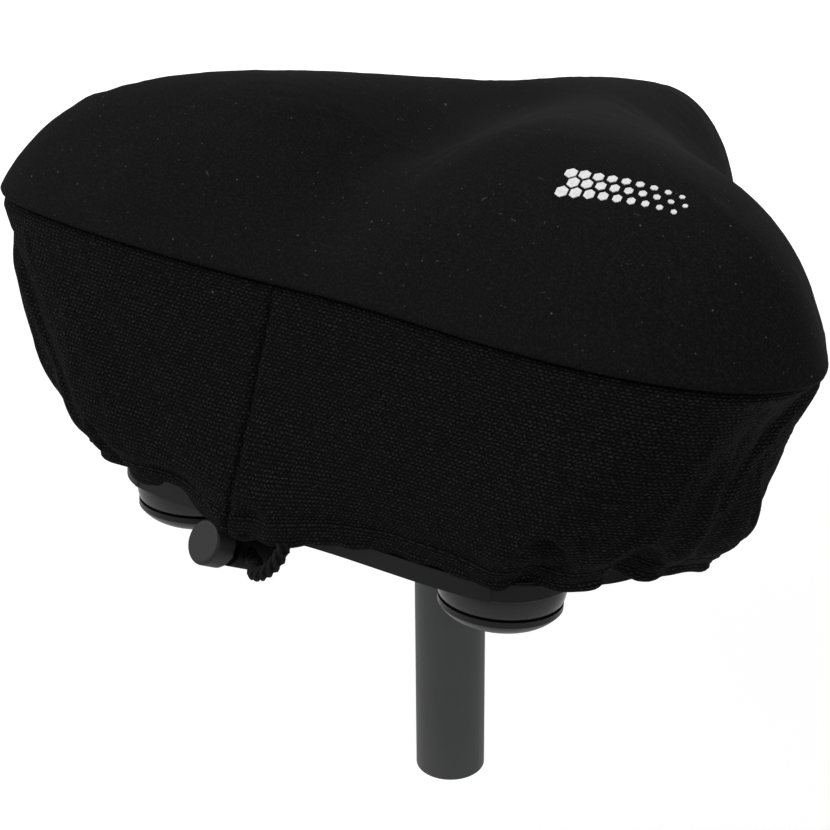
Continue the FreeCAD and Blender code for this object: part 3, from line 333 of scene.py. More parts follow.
def crown_height(x, y):
    """Height of the cover's top: two sitting lobes, a valley between them and a raised neck."""
    lobes = LOBE_RISE * (swell(x, y, 53, -40.5, 65.5, 74) + swell(x, y, -53, -40.5, 65.5, 74))
    neck = NECK_RISE * swell(x, y, 0, 57, 49, 63)
    valley = (VALLEY_DEPTH * swell(x, y, 0, -37, 21, 39) + REAR_DIP * swell(x, y, 0, -85, 40, 30)
              + FRONT_DIP * swell(x, y, 0, 20, 20, 32))
    nose_fall = NOSE_FALL * np.clip((y - 95) / 60, 0, 1) ** 1.5
    return CROWN_RISE + lobes + neck - valley - nose_fall


# ---- shared Blender tools
def add_object(name, data):
    """A new object in the scene."""
    piece = bpy.data.objects.new(name, data)
    bpy.context.scene.collection.objects.link(piece)
    return piece


def plain_mesh(piece):
    """The mesh that a piece and its modifiers make."""
    return bpy.data.meshes.new_from_object(piece.evaluated_get(bpy.context.evaluated_depsgraph_get()))


def points_of(mesh):
    """A mesh's points."""
    return np.array([v.co for v in mesh.vertices])


def curve_object(name, points, kind):
    """An object with one curve of a kind along points, and that curve."""
    data = bpy.data.curves.new(name, "CURVE")
    data.dimensions = "3D"
    spline = data.splines.new(kind)
    spline.points.add(len(points) - 1)
    for point, place in zip(spline.points, points):
        point.co = (*place, 1.0)
    return add_object(name, data), spline


def grid_mesh(name, rings, uvs=None):
    """A piece of four-sided faces over rings[i][j], in the row frame, closed along j."""
    rows, columns = rings.shape[:2]
    faces = []
    corners_uv = []
    for i in range(rows - 1):
        for j in range(columns):
            k = (j + 1) % columns
            faces.append((i * columns + j, i * columns + k, (i + 1) * columns + k, (i + 1) * columns + j))
            if uvs is not None:
                corners_uv += [uvs[i][j], uvs[i][j + 1], uvs[i + 1][j + 1], uvs[i + 1][j]]
    mesh = bpy.data.meshes.new(name)
    mesh.from_pydata([tuple(v) for v in rings.reshape(-1, 3)], [], faces)
    if uvs is not None:
        layer = mesh.uv_layers.new(name="Cloth")
        layer.data.foreach_set("uv", np.asarray(corners_uv, float).ravel())
    mesh.polygons.foreach_set("use_smooth", [True] * len(mesh.polygons))
    mesh.update()
    return add_object(name, mesh)


def close_piece(piece, smooth=True):
    """Merge a piece's doubles, fill what is left open and turn its faces outwards."""
    mesh = bmesh.new()
    mesh.from_mesh(piece.data)
    bmesh.ops.remove_doubles(mesh, verts=mesh.verts, dist=MERGE_DISTANCE)
    open_edges = [e for e in mesh.edges if e.is_boundary]
    if open_edges:
        bmesh.ops.holes_fill(mesh, edges=open_edges, sides=0)
    bmesh.ops.recalc_face_normals(mesh, faces=mesh.faces)
    for face in mesh.faces:
        face.smooth = smooth
    mesh.to_mesh(piece.data)
    mesh.free()


def dress(piece, slot, material=None, *stands_for):
    """Put a piece on the saddle's body, with its material, and hide the solids that it stands for; the slot
    argument is not used.
    """
    if material:
        piece.data.materials.append(material)
    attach(piece, "saddle")
    if stands_for:
        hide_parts(*stands_for)


class Tree:
    """Short ways to add and join nodes."""

    def __init__(self, tree):
        self.tree = tree

    def put(self, socket, value):
        """Join a socket, or set its value."""
        if isinstance(value, bpy.types.NodeSocket):
            self.tree.links.new(value, socket)
        else:
            socket.default_value = value

    def add(self, kind, inputs=None, **settings):
        """A node with its own settings, and some of its inputs joined or set."""
        node = self.tree.nodes.new(kind)
        for key, value in settings.items():
            setattr(node, key, value)
        for key, value in (inputs or {}).items():
            self.put(node.inputs[key], value)
        return node

    def math(self, operation, *values):
        """A Math node's result."""
        return self.add("ShaderNodeMath", dict(enumerate(values)), operation=operation).outputs[0]

    def plus(self, a, b):
        """The sum of two values."""
        return self.math("ADD", a, b)

    def minus(self, a, b):
        """The difference of two values."""
        return self.math("SUBTRACT", a, b)

    def times(self, a, b, more=0.0):
        """The product of two values, and what is added to it."""
        return self.math("MULTIPLY_ADD", a, b, more) if more else self.math("MULTIPLY", a, b)

    def parts(self, vector):
        """A vector's X, Y and Z."""
        return self.add("ShaderNodeSeparateXYZ", {0: vector}).outputs

    def joined(self, **parts):
        """A vector from some of its X, Y and Z."""
        return self.add("ShaderNodeCombineXYZ", parts).outputs[0]

    def vector_math(self, operation, a, b):
        """A Vector Math node's result; b is a scale or a vector."""
        inputs = {0: a, "Scale" if operation == "SCALE" else 1: b}
        return self.add("ShaderNodeVectorMath", inputs, operation=operation).outputs[0]

    def ramp(self, value, low, high):
        """0 below low and 1 above high, smoothly."""
        inputs = {"Value": value, "From Min": low, "From Max": high}
        return self.add("ShaderNodeMapRange", inputs, interpolation_type="SMOOTHSTEP").outputs["Result"]

    def noise(self, vector, scale, detail=2.0, rough=0.5, output="Fac"):
        """A noise texture's factor, or its colour."""
        inputs = {"Vector": vector, "Scale": scale, "Detail": detail, "Roughness": rough}
        return self.add("ShaderNodeTexNoise", inputs).outputs[output]

    def mix(self, factor, a, b):
        """A mix of two colours."""
        node = self.add("ShaderNodeMix", {"Factor": factor, "A": a, "B": b}, data_type="RGBA")
        return node.outputs["Result"]

    def place(self):
        """Places on the object itself."""
        return self.add("ShaderNodeTexCoord").outputs["Object"]


# ---- shader groups
def new_group(name, inputs, outputs):
    """An empty shader node group, with its tree, its inputs and its outputs."""
    group = bpy.data.node_groups.new(name, "ShaderNodeTree")
    group.interface.new_socket("Vector", in_out="INPUT", socket_type="NodeSocketVector")
    for label, default in inputs.items():
        socket = group.interface.new_socket(label, in_out="INPUT", socket_type="NodeSocketFloat")
        socket.default_value = default
    for label in outputs:
        group.interface.new_socket(label, in_out="OUTPUT", socket_type="NodeSocketFloat")
    tree = Tree(group)
    return group, tree, tree.add("NodeGroupInput").outputs, tree.add("NodeGroupOutput").inputs


def knit_group():
    """Coarse pique knit: short raised bars in rows, each row shifted by half a stitch."""
    group, t, given, wanted = new_group("Knit", {"Width": 0.0018, "Height": 0.0013}, ("Relief", "Hole shade"))
    parts = t.parts(given["Vector"])
    wander = t.noise(given["Vector"], 420.0, 3.0, 0.65)
    across = t.plus(t.math("DIVIDE", parts["X"], given["Width"]), t.times(wander, 1.7))
    up = t.plus(t.math("DIVIDE", parts["Y"], given["Height"]), t.times(wander, 1.2))
    row = t.math("FLOOR", up)
    parity = t.math("MODULO", t.plus(row, 10000.0), 2.0)
    shifted = t.plus(across, t.times(parity, 0.5))
    place_x = t.minus(t.math("FRACT", shifted), 0.5)
    place_y = t.minus(t.math("FRACT", up), 0.5)
    lean = t.times(t.minus(parity, 0.5), 0.9)
    slant = t.times(t.plus(place_y, t.times(place_x, lean)), 1.6)
    reach = t.math("SQRT", t.plus(t.math("POWER", place_x, 2.0), t.math("POWER", slant, 2.0)))
    bar = t.minus(1.0, t.ramp(reach, 0.16, 0.72))
    cell = t.joined(X=t.math("FLOOR", shifted), Y=row)
    chance = t.add("ShaderNodeTexWhiteNoise", {"Vector": cell}, noise_dimensions="2D").outputs["Value"]
    edge = t.ramp(t.math("ABSOLUTE", place_x), 0.2, 0.4)
    low = t.ramp(t.math("ABSOLUTE", place_y), 0.04, 0.34)
    t.put(wanted["Relief"], t.times(bar, t.times(chance, 0.8, 0.2)))
    # The hole mask only marks where the knit's holes are painted near-black as shade.
    t.put(wanted["Hole shade"], t.times(t.times(edge, low), t.times(chance, 0.5, 0.5)))
    return group


def lint_group():
    """Sparse pale specks, short loose fibres and a soft dustiness on dark cloth."""
    group, t, given, wanted = new_group("Lint", {"Scale": 170.0, "Share": 0.06}, ("Speck", "Fibre", "Dust"))
    vector = given["Vector"]

    def dots(place, scale, low, high, shade, least):
        """Chosen cells, each with a small dot whose size and shade vary."""
        cells = t.add("ShaderNodeTexVoronoi", {"Vector": place, "Scale": scale}).outputs
        chance = t.add("ShaderNodeSeparateColor", {0: cells["Color"]}).outputs
        chosen = t.math("LESS_THAN", chance[0], given["Share"])
        reach = t.times(chance[1], high - low, low)
        dot = t.times(chosen, t.math("LESS_THAN", cells["Distance"], reach))
        return t.times(dot, t.times(chance[2], shade, least))

    t.put(wanted["Speck"], dots(vector, given["Scale"], 0.03, 0.12, 0.8, 0.2))
    bend = t.vector_math("SCALE", t.noise(vector, 120.0, output="Color"), 0.008)
    turned = t.add("ShaderNodeMapping", {"Vector": t.vector_math("ADD", vector, bend),
                                         "Rotation": (0.3, 0.2, 0.7), "Scale": (0.16, 1.0, 1.0)})
    t.put(wanted["Fibre"], dots(turned.outputs[0], 420.0, 0.04, 0.09, 0.6, 0.2))
    t.put(wanted["Dust"], t.noise(vector, 38.0, 5.0, 0.6))
    return group


def grain_group():
    """Fine moulded grain with faint scuffs, for the plastics and painted steel."""
    group, t, given, wanted = new_group("Moulded grain", {"Scale": 2200.0}, ("Grain", "Scuff"))
    t.put(wanted["Grain"], t.noise(given["Vector"], given["Scale"]))
    t.put(wanted["Scuff"], t.ramp(t.noise(given["Vector"], 60.0, 6.0, 0.7), 0.52, 0.75))
    return group


GROUP_MAKERS = {"Knit": knit_group, "Lint": lint_group, "Moulded grain": grain_group}


# ---- materials
class Finish(Tree):
    """A material, with short ways to build it round its Principled shader."""

    def __init__(self, name):
        self.material = bpy.data.materials.new(name)
        self.material.use_nodes = True
        super().__init__(self.material.node_tree)

    def shade(self, values):
        """Join or set some of the shader's inputs; returns the material."""
        shader = next(n for n in self.tree.nodes if n.type == "BSDF_PRINCIPLED")
        for label, value in values.items():
            self.put(shader.inputs[label], value)
        return self.material

    def surface(self, base, rough, specular, height, strength, distance, **more):
        """Give the shader its colour, roughness and shine, and a bump from a height."""
        relief = self.add("ShaderNodeBump", {"Height": height, "Strength": strength, "Distance": distance})
        return self.shade({"Base Color": base, "Roughness": rough, "Specular IOR Level": specular,
                           "Normal": relief.outputs["Normal"], **more})

    def group(self, name, **inputs):
        """The outputs of a shared group placed in the material; the group is made the first time."""
        group = bpy.data.node_groups.get(name) or GROUP_MAKERS[name]()
        return self.add("ShaderNodeGroup", inputs, node_tree=group).outputs


def rgba(colour_value, share=1.0):
    """A colour property as four numbers, brighter or darker by share."""
    return tuple(min(1.0, c * share) for c in colour_value) + (1.0,)


def knit_material(cover):
    """Near-black coarse knit of the skirt, with painted shade between its raised bars, in its holes and along its
    seam grooves.
    """
    t = Finish("skirt_knit")
    uv = t.add("ShaderNodeUVMap", uv_map="Cloth").outputs[0]
    knit = t.group("Knit", Vector=uv, Width=cover.knit_width, Height=cover.knit_height)
    place = t.place()
    lint = t.group("Lint", Vector=place, Scale=300.0, Share=0.012)
    tone = cover.knit_colour
    bars = t.mix(t.noise(place, 1500.0, 3.0, 0.6), rgba(tone, 0.6), rgba(tone, 8.8))
    # Painted shade: the low parts between the knit's raised bars are darkened, and its holes are painted
    # near-black.
    base = t.mix(knit["Relief"], rgba(tone, 0.25), bars)
    base = t.mix(knit["Hole shade"], base, rgba(tone, 0.03))
    base = t.mix(t.times(lint["Dust"], 0.35), base, rgba(tone, 0.5))
    base = t.mix(lint["Speck"], base, (0.12, 0.12, 0.12, 1))
    # Painted shade along the rear and nose seam grooves: the knit darkens to near black there.
    seam = t.add("ShaderNodeAttribute", attribute_name="Seam").outputs["Fac"]
    base = t.mix(t.ramp(seam, 0.5, 0.95), base, rgba(tone, 0.06))
    return t.surface(base, 0.9, 0.08, knit["Relief"], 1.0, 0.0007)


def top_material(cover):
    """Smooth stretch cloth of the cover's top, with a fine weave, a little lint and short loose fibres."""
    t = Finish("top_cloth")
    place = t.place()
    lint = t.group("Lint", Vector=place, Scale=420.0, Share=0.6)
    weave = t.add("ShaderNodeTexWave", {"Vector": place, "Scale": 420.0, "Distortion": 1.5},
                  bands_direction="DIAGONAL").outputs["Fac"]
    fine = t.noise(place, 1700.0, 3.0, 0.6)
    base = t.mix(lint["Dust"], rgba(cover.top_colour, 0.7), rgba(cover.top_colour, 1.3))
    base = t.mix(t.ramp(fine, 0.42, 0.7), base, rgba(cover.top_colour, 2.2))
    base = t.mix(lint["Speck"], base, (0.08, 0.08, 0.078, 1))
    base = t.mix(lint["Fibre"], base, (0.07, 0.07, 0.068, 1))
    return t.surface(base, 0.85, 0.06, t.plus(t.times(weave, 0.6), fine), 0.3, 0.00015)


def thread_material(cover):
    """Twisted sewing thread, as dark as the cloth."""
    t = Finish("hem_cloth")
    twist = t.noise(t.place(), 2800.0)
    base = t.mix(twist, rgba(cover.knit_colour, 0.4), rgba(cover.knit_colour, 1.1))
    return t.surface(base, 0.6, 0.2, twist, 0.4, 0.0001)


def print_material(cover):
    """Matt printing ink, a little thin where the cloth's weave shows through."""
    t = Finish("top_cloth_print")
    place = t.place()
    thin = t.ramp(t.noise(place, 900.0, 4.0, 0.65), 0.35, 0.6)
    base = t.mix(thin, rgba(cover.print_colour, 0.86), rgba(cover.print_colour))
    return t.surface(base, 0.65, 0.25, t.noise(place, 2600.0), 0.2, 0.0001)


def cord_material(cord):
    """Plaited synthetic cord, with painted shade in the gaps between its strands."""
    t = Finish("cord_braid")
    parts = t.parts(t.add("ShaderNodeUVMap", uv_map="Cloth").outputs[0])
    round_turn, along_turn = (t.times(parts[axis], 2 * math.pi * STRANDS) for axis in "XY")
    crossing = t.math("COSINE", t.minus(round_turn, t.times(along_turn, 2.0)))
    ridge = t.times(crossing, 0.35, t.math("COSINE", t.plus(round_turn, along_turn)))
    fibre = t.noise(t.place(), 3200.0, 3.0)
    yarn = t.mix(fibre, rgba(cord.cord_colour, 0.7), rgba(cord.cord_colour, 2.6))
    # Painted shade: the gaps between the braid's ridges are darkened to a tenth of the yarn's colour.
    base = t.mix(t.ramp(ridge, -0.7, 0.8), rgba(cord.cord_colour, 0.1), yarn)
    return t.surface(base, 0.75, 0.12, fibre, 0.5, 0.0002)


def moulded_material(name, base_colour, roughness, specular=0.5, grain=1.0, coat=0.0):
    """Moulded plastic, elastomer or painted steel, with grain and faint scuffs."""
    t = Finish(name)
    grained = t.group("Moulded grain", Vector=t.place())
    base = t.mix(grained["Scuff"], rgba(base_colour), rgba(base_colour, 1.35))
    rough = t.times(grained["Scuff"], 0.12, roughness)
    return t.surface(base, rough, specular, grained["Grain"], 0.15 * grain, 0.0001,
                     **{"Coat Weight": coat, "Coat Roughness": 0.08})


def brushed_material(name, base_colour, roughness, metallic):
    """Metal with fine drawn lines along its length."""
    t = Finish(name)
    place = t.place()
    stretch = t.add("ShaderNodeMapping", {"Vector": place, "Scale": (1.0, 1.0, 0.04)})
    lines = t.noise(stretch.outputs[0], 1800.0, 4.0)
    base = t.mix(t.noise(place, 45.0, 4.0, 0.6), rgba(base_colour, 0.85), rgba(base_colour, 1.15))
    return t.surface(base, t.times(lines, 0.15, roughness), 0.5, lines, 0.08, 0.0001, Metallic=metallic)


# ---- settling soft pieces
def settle(piece, held, pressure=0.0, spare=None, spare_share=0.0):
    """Run the cloth solver on a piece with its held points pinned; returns how far each point moved."""
    def weigh(name, weights):
        group = piece.vertex_groups.new(name=name)
        for index, weight in enumerate(weights):
            if weight > 0:
                group.add([index], float(weight), "REPLACE")

    weigh("held", held)
    cloth = piece.modifiers.new("Cloth", "CLOTH")
    settings = cloth.settings
    settings.vertex_group_mass = "held"
    for key, value in LIGHT_CLOTH.items():
        setattr(settings, key, value)
    settings.effector_weights.gravity = 0
    cloth.collision_settings.use_collision = False
    if spare is not None:
        weigh("spare", spare)
        settings.vertex_group_shrink = "spare"
        settings.shrink_min = 0.0
        settings.shrink_max = -spare_share
    if pressure:
        settings.use_pressure = True
        settings.uniform_pressure_force = pressure
    cloth.point_cache.frame_start = 1
    cloth.point_cache.frame_end = FRAMES
    start = points_of(piece.data)
    for moment in range(1, FRAMES + 1):
        bpy.context.scene.frame_set(moment)
    mesh = plain_mesh(piece)
    moved = points_of(mesh) - start
    bpy.data.meshes.remove(mesh)
    piece.modifiers.clear()
    bpy.context.scene.frame_set(1)
    return start, moved


def capped(moved, cap):
    """Movements shortened to no more than cap, smoothly."""
    length = np.linalg.norm(moved, axis=-1, keepdims=True)
    return moved * np.where(length > 1e-9, cap * np.tanh(length / cap) / np.maximum(length, 1e-9), 0)


def carried(start, moved, points, neighbours=8):
    """Movements of nearby settled points, averaged on to points by their distance."""
    tree = KDTree(len(start))
    for index, place in enumerate(start):
        tree.insert(place, index)
    tree.balance()
    out = np.zeros((len(points), 3))
    for row, point in enumerate(points):
        near = tree.find_n(point, neighbours)
        weights = np.array([1 / (distance + 0.001) ** 2 for _, _, distance in near])
        out[row] = weights @ moved[[index for _, index, _ in near]] / weights.sum()
    return out


# ---- the cover's top
def distance_to_rim(points):
    """Shortest distance from each point to the rim, in millimetres."""
    line = RIM_CURVE(np.linspace(0, RING_POINTS, COARSE_RIM_STEPS, endpoint=False))
    rows = points.reshape(-1, points.shape[-2], 2)
    near = [np.sqrt(((row[:, None] - line) ** 2).sum(-1)).min(1) for row in rows]
    return np.array(near).reshape(points.shape[:-1])


def spine_targets(rim):
    """For each rim point, the point on the middle line that its column runs to."""
    y = np.clip(rim[:, 1], -58, 108) * 0.92
    return np.stack([np.zeros(len(rim)), np.interp(y, [-60, 0, 100], [-30, 5, 104])], -1)


class SADDLE_OT_cover_top(bpy.types.Operator):
    """Make the cover's padded top, from the rim seam over the two lobes and the nose"""

    bl_idname = "saddle.cover_top"
    bl_label = "Cover top"

    def execute(self, context):
        cover = context.scene.saddle_cover
        places, _ = even_places(COLUMNS // 2)
        rim = RIM_CURVE(places)
        target = spine_targets(rim)
        reach = np.minimum(cover.edge_reach / MM, distance_to_rim(target) * 0.98)
        share = np.linspace(0, 1, TOP_ROWS) ** 1.7
        flat = rim + (target - rim) * share[:, None, None]
        x, y = flat[..., 0], flat[..., 1]
        rise = 1 - (1 - np.clip(distance_to_rim(flat) / reach, 0, 1)) ** cover.edge_roundness
        crown = crown_height(x, y) - cover.swelling / MM
        top = raised(flat, RIM_Z + seam_lift(x, y) * (1 - rise) ** 2.5 + crown * rise ** cover.edge_fullness)
        inward = unit(target - rim)
        tuck = cover.seam_depth / MM
        seam = RIM_Z + seam_lift(rim[:, 0], rim[:, 1])
        under = [raised(rim + inward * distance, seam + height)
                 for distance, height in ((20, 3), (6, 1), (tuck * 1.6, -0.4), (tuck * 0.35, -0.1))]
        piece = grid_mesh("cover_top_cushion", in_row(under + list(top[1:])))
        close_piece(piece)
        self.swell_padding(piece, cover)
        dress(piece, "top_cloth", top_material(cover),
              "cover_top", "cover_foam", "gel_pad_left", "gel_pad_right")
        return {"FINISHED"}

    def swell_padding(self, piece, cover):
        """Let the padding swell under its cloth, held at the seam."""
        rough = add_object("rough_top", piece.data.copy())
        remesh = rough.modifiers.new("Remesh", "REMESH")
        remesh.mode = "VOXEL"
        remesh.voxel_size = PADDING_VOXEL
        bpy.context.view_layer.update()
        mesh = plain_mesh(rough)
        rough.modifiers.clear()
        rough.data = mesh
        level = np.array(SADDLE.inverted())
        points = points_of(mesh) @ level[:3, :3].T + level[:3, 3]
        held = 1 - smooth_step(0.004, 0.012, points[:, 2] - RIM_Z * MM)
        start, moved = settle(rough, held, PADDING_PRESSURE)
        moved = capped(moved, cover.swelling_cap) * (1 - held)[:, None]
        bpy.data.objects.remove(rough)
        before = points_of(piece.data)
        after = before + carried(start, moved, before)
        piece.data.vertices.foreach_set("co", after.ravel())
        piece.data.update()


# ---- the cover's skirt
def fold_heights(along, down, run):
    """Height of the skirt's gathers in millimetres at places along the hem and shares of the way down."""
    fine, _ = even_places(COLUMNS)

    def at(place):
        return np.interp(place % RING_POINTS, np.append(fine, RING_POINTS), np.linspace(0, run, COLUMNS + 1))

    rng = np.random.default_rng(FOLD_SEED)
    folds = [(at(low), at(high), *rest) for low, high, *rest in FOLDS]
    place, end = map(at, SMALL_FOLDS)
    while place < end:
        lean, climb = rng.uniform(-6, 6), rng.uniform(0.1, 0.55)
        width, height = rng.uniform(2.8, 5.2), rng.choice([-2.6, -1.8, 1.3, 1.8]) * rng.uniform(0.6, 1.1)
        folds.append((place, place + lean, climb, 0.4, width, height))
        place += rng.uniform(6, 13)
    total = np.zeros((len(down), len(along)))
    for low, high, climb, sudden, width, height in folds:
        middle = high + (low - high) * down[:, None]
        apart = (along[None] * run - middle + run / 2) % run - run / 2
        arch = 1 - climb * (1 - 0.35 * np.minimum((apart / width) ** 2, 2))
        rise = smooth_step(arch, arch + (1.02 - arch) * (1 - sudden), down[:, None])
        total += height * rise * np.exp(-(apart / width) ** 2)
    return total


def seam_groove(ring, z):
    """1 on the rear and nose seams, 0 elsewhere, for the skirt's ring at a height; the rear seam slants."""
    seam_x = np.interp(z, [HEM_Z, BELLY_Z, RIM_Z], [-20, -14.6, -10.5])
    rear = np.where(ring[:, 1] < 0, np.exp(-((ring[:, 0] - seam_x) / 0.9) ** 2), 0)
    nose = np.where(ring[:, 1] > 120, np.exp(-(ring[:, 0] / 0.9) ** 2), 0)
    return rear + nose


def hem_hang(ring):
    """How far the hem hangs below its level: most where the cord pulls, least at the right corner."""
    x, y = ring[:, 0], ring[:, 1]
    rear = 1 - smooth_step(-76, -58, y)
    even = ((0.9 + 1.5 * smooth_step(0, 35, -x)) * rear * (1 - smooth_step(50, 70, x))
            + 2.2 * swell(x, y, -62, -76, 26, 20))
    corner = 1.5 * swell(x, y, 88, -64, 20, 16) + 3.2 * swell(x, y, 96, -46, 14, 15)
    return (even + CORD_DRAW * rear * np.exp(-((x + 15) / 23) ** 2)
            + 3.4 * swell(x, y, 68, -75, 12, 12) - corner)


class SADDLE_OT_cover_skirt(bpy.types.Operator):
    """Make the knitted skirt with its gathers, rear and nose seams and rolled hem"""

    bl_idname = "saddle.cover_skirt"
    bl_label = "Cover skirt"

    def execute(self, context):
        cover = context.scene.saddle_cover
        down = np.concatenate([[0.0, 0.008, 0.02], np.linspace(0.04, 1, SKIRT_ROWS - 3)])
        rows, side, run = self.rows(COLUMNS, down, cover)
        coarse_down = np.linspace(0, 1, COARSE_ROWS)
        coarse, _, _ = self.rows(COARSE_COLUMNS, coarse_down, cover)
        rows += self.gathered(coarse, coarse_down, down, cover)
        rings = np.concatenate([rows, self.rolled_hem(rows[-1], side, cover)])
        steps = np.linalg.norm(np.diff(rings, axis=0), axis=-1).mean(1)
        fall = np.concatenate([[0], np.cumsum(steps)])
        u = np.broadcast_to(np.linspace(0, 1, COLUMNS + 1) * run * MM, (len(rings), COLUMNS + 1))
        v = np.broadcast_to((-fall * MM)[:, None], u.shape)
        solid = in_row(rings)
        piece = grid_mesh("cover_skirt", solid, np.stack([u, v], -1))
        # This mask carries painted shade: the knit material darkens the seam grooves with it.
        seam = piece.data.attributes.new("Seam", "FLOAT", "POINT")
        grooves = [seam_groove(ring[:, :2], ring[0, 2]) for ring in rings]
        seam.data.foreach_set("value", np.concatenate(grooves))
        thick = piece.modifiers.new("Cloth", "SOLIDIFY")
        thick.thickness = CLOTH_THICKNESS
        thick.offset = 1.0
        dress(piece, "skirt_knit", knit_material(cover), "skirt_left", "skirt_right", "hem_channel")
        self.stitches(solid[int(len(rows) * STITCH_SHARE)], side, cover)
        self.hidden_cord(context.scene.saddle_cord, rows[-1], side, cover)
        return {"FINISHED"}

    def rows(self, columns, down, cover):
        """The skirt's rows of points down to the hem, the outward direction there, and the rim's length."""
        places, run = even_places(columns)
        push = fold_heights(np.arange(columns) / columns, down, run) * cover.fold_share
        tuck = cover.seam_depth / MM
        rows = []
        for index, share in enumerate(down):
            z = RIM_Z + (HEM_Z - RIM_Z) * share
            ring = skirt_ring(z, places)
            tangent = np.roll(ring, -1, 0) - np.roll(ring, 1, 0)
            side = unit(np.stack([tangent[:, 1], -tangent[:, 0]], -1))
            # Seam grooves, the tuck at the rim, the dent above the hem's channel, the cord's pull.
            out = push[index] - GROOVE_DEPTH * seam_groove(ring, z) * smooth_step(0.0, 0.1, share)
            out = out - tuck * 1.4 * (1 - smooth_step(0.0, 0.035, share))
            out = out - DENT_DEPTH * np.exp(-((share - DENT_SHARE) / 0.03) ** 2)
            drawn = np.where(ring[:, 1] < 0, np.exp(-((ring[:, 0] + 8) / 22) ** 2), 0)
            out = out + CORD_PULL * drawn * smooth_step(0.55, 1, share)
            lift = seam_lift(ring[:, 0], ring[:, 1]) * (1 - share) ** 2 - 0.6 * (1 - share)
            lift = lift + np.clip(-push[index], 0, 6) * 0.3 * smooth_step(0.75, 1, share)
            lift = lift - hem_hang(ring) * smooth_step(0.4, 1, share) ** 1.5
            rows.append(raised(ring + side * out[:, None], z + lift))
        return np.array(rows), side, run

    def gathered(self, coarse, coarse_down, down, cover):
        """How far the cloth moves where its spare length is drawn in towards the hem."""
        rough = grid_mesh("rough_skirt", in_row(coarse))
        held = np.zeros(coarse.shape[:2])
        held[:2] = held[-1] = 1
        spare = np.broadcast_to(smooth_step(0.4, 0.95, coarse_down)[:, None], held.shape)
        _, moved = settle(rough, held.ravel(), spare=spare.ravel(), spare_share=cover.spare_cloth)
        bpy.data.objects.remove(rough)
        level = np.array(SADDLE)[:3, :3]
        moved = (capped(moved, cover.swelling_cap) @ level / MM).reshape(coarse.shape)
        moved = np.concatenate([moved, moved[:, :1]], 1)
        grid = np.arange(COARSE_COLUMNS + 1)
        at_rows = np.array([[np.interp(down, coarse_down, moved[:, j, k]) for j in grid] for k in range(3)])
        column = np.arange(COLUMNS) * COARSE_COLUMNS / COLUMNS
        return np.array([[np.interp(column, grid, at_rows[k, :, i]) for k in range(3)]
                         for i in range(len(down))]).transpose(0, 2, 1)

    def rolled_hem(self, last, side, cover):
        """The cloth turned round the drawcord: rings from the skirt's last row round and under."""
        radius = cover.hem_radius / MM
        along = np.arange(COLUMNS) / COLUMNS * 2 * np.pi
        puff = 1 + 0.07 * np.sin(61 * along + 3 * np.sin(5 * along)) + 0.06 * np.sin(37 * along + 1)
        middle = last[:, :2] - side * radius
        return np.array([raised(middle + side * (math.cos(turn) * radius * puff)[:, None],
                                last[:, 2] - HEM_SINK - math.sin(turn) * radius * puff)
                         for turn in np.linspace(0.15, 1.62, 14) * math.pi])

    def hidden_cord(self, cord, last, side, cover):
        """The drawcord's loop, inside the rolled hem."""
        middle = raised(last[:, :2] - side * cover.hem_radius / MM, last[:, 2] - HEM_SINK)
        out = raised(side, np.zeros(len(side)))
        radius = (cord.diameter / 2 - 0.0004) / MM
        rings = np.array([middle + radius * (math.cos(a) * out + math.sin(a) * np.array([0, 0, 1.0]))
                          for a in full_turn(12)])
        rings = in_row(np.concatenate([rings, rings[:1]]))
        u, v = np.meshgrid(np.arange(rings.shape[1] + 1) * 0.14, np.linspace(0, 1, 13))
        loop = grid_mesh("drawcord_loop", rings, np.stack([v, u], -1))
        close_piece(loop)
        dress(loop, "cord_braid", cord_material(cord), "drawcord")

    def stitches(self, line, side, cover):
        """A row of stitches that closes the hem's channel, laid along the skirt by geometry nodes."""
        outward = raised(side, np.zeros(len(side))) @ np.array(SADDLE)[:3, :3].T
        holder, spline = curve_object("hem_stitch_line", line + outward * cover.thread * 0.3, "POLY")
        spline.use_cyclic_u = True
        piece = grown("hem_stitches", holder, stitch_tree(), {
            "Pitch": cover.stitch_pitch, "Length": cover.stitch_length, "Thread": cover.thread,
            "Material": thread_material(cover)})
        dress(piece, "hem_cloth")


# ---- what repeats
def node_tree(name, **kinds):
    """An empty geometry nodes tree, with short ways to build it, its inputs and its one output."""
    group = bpy.data.node_groups.new(name, "GeometryNodeTree")
    group.interface.new_socket("Geometry", in_out="INPUT", socket_type="NodeSocketGeometry")
    for kind, labels in kinds.items():
        for label in labels:
            group.interface.new_socket(label, in_out="INPUT", socket_type="NodeSocket" + kind)
    group.interface.new_socket("Geometry", in_out="OUTPUT", socket_type="NodeSocketGeometry")
    tree = Tree(group)
    return group, tree, tree.add("NodeGroupInput").outputs, tree.add("NodeGroupOutput").inputs[0]


def finish_tree(t, instances, material, wanted, smooth):
    """Make real meshes of a tree's instances, shade them and give them their material."""
    real = t.add("GeometryNodeRealizeInstances", {"Geometry": instances}).outputs[0]
    shaded = t.add("GeometryNodeSetShadeSmooth", {"Geometry": real, "Shade Smooth": smooth}).outputs[0]
    t.put(wanted, t.add("GeometryNodeSetMaterial", {"Geometry": shaded, "Material": material}).outputs[0])


def grown(name, holder, tree, values):
    """The plain mesh that a geometry nodes tree grows on an object, which is then taken away."""
    modifier = holder.modifiers.new("Grow", "NODES")
    modifier.node_group = tree
    for item in tree.interface.items_tree:
        if item.in_out == "INPUT" and item.name in values:
            modifier[item.identifier] = values[item.name]
    bpy.context.view_layer.update()
    mesh = plain_mesh(holder)
    holder.modifiers.clear()
    bpy.data.objects.remove(holder)
    mesh.name = name
    return add_object(name, mesh)


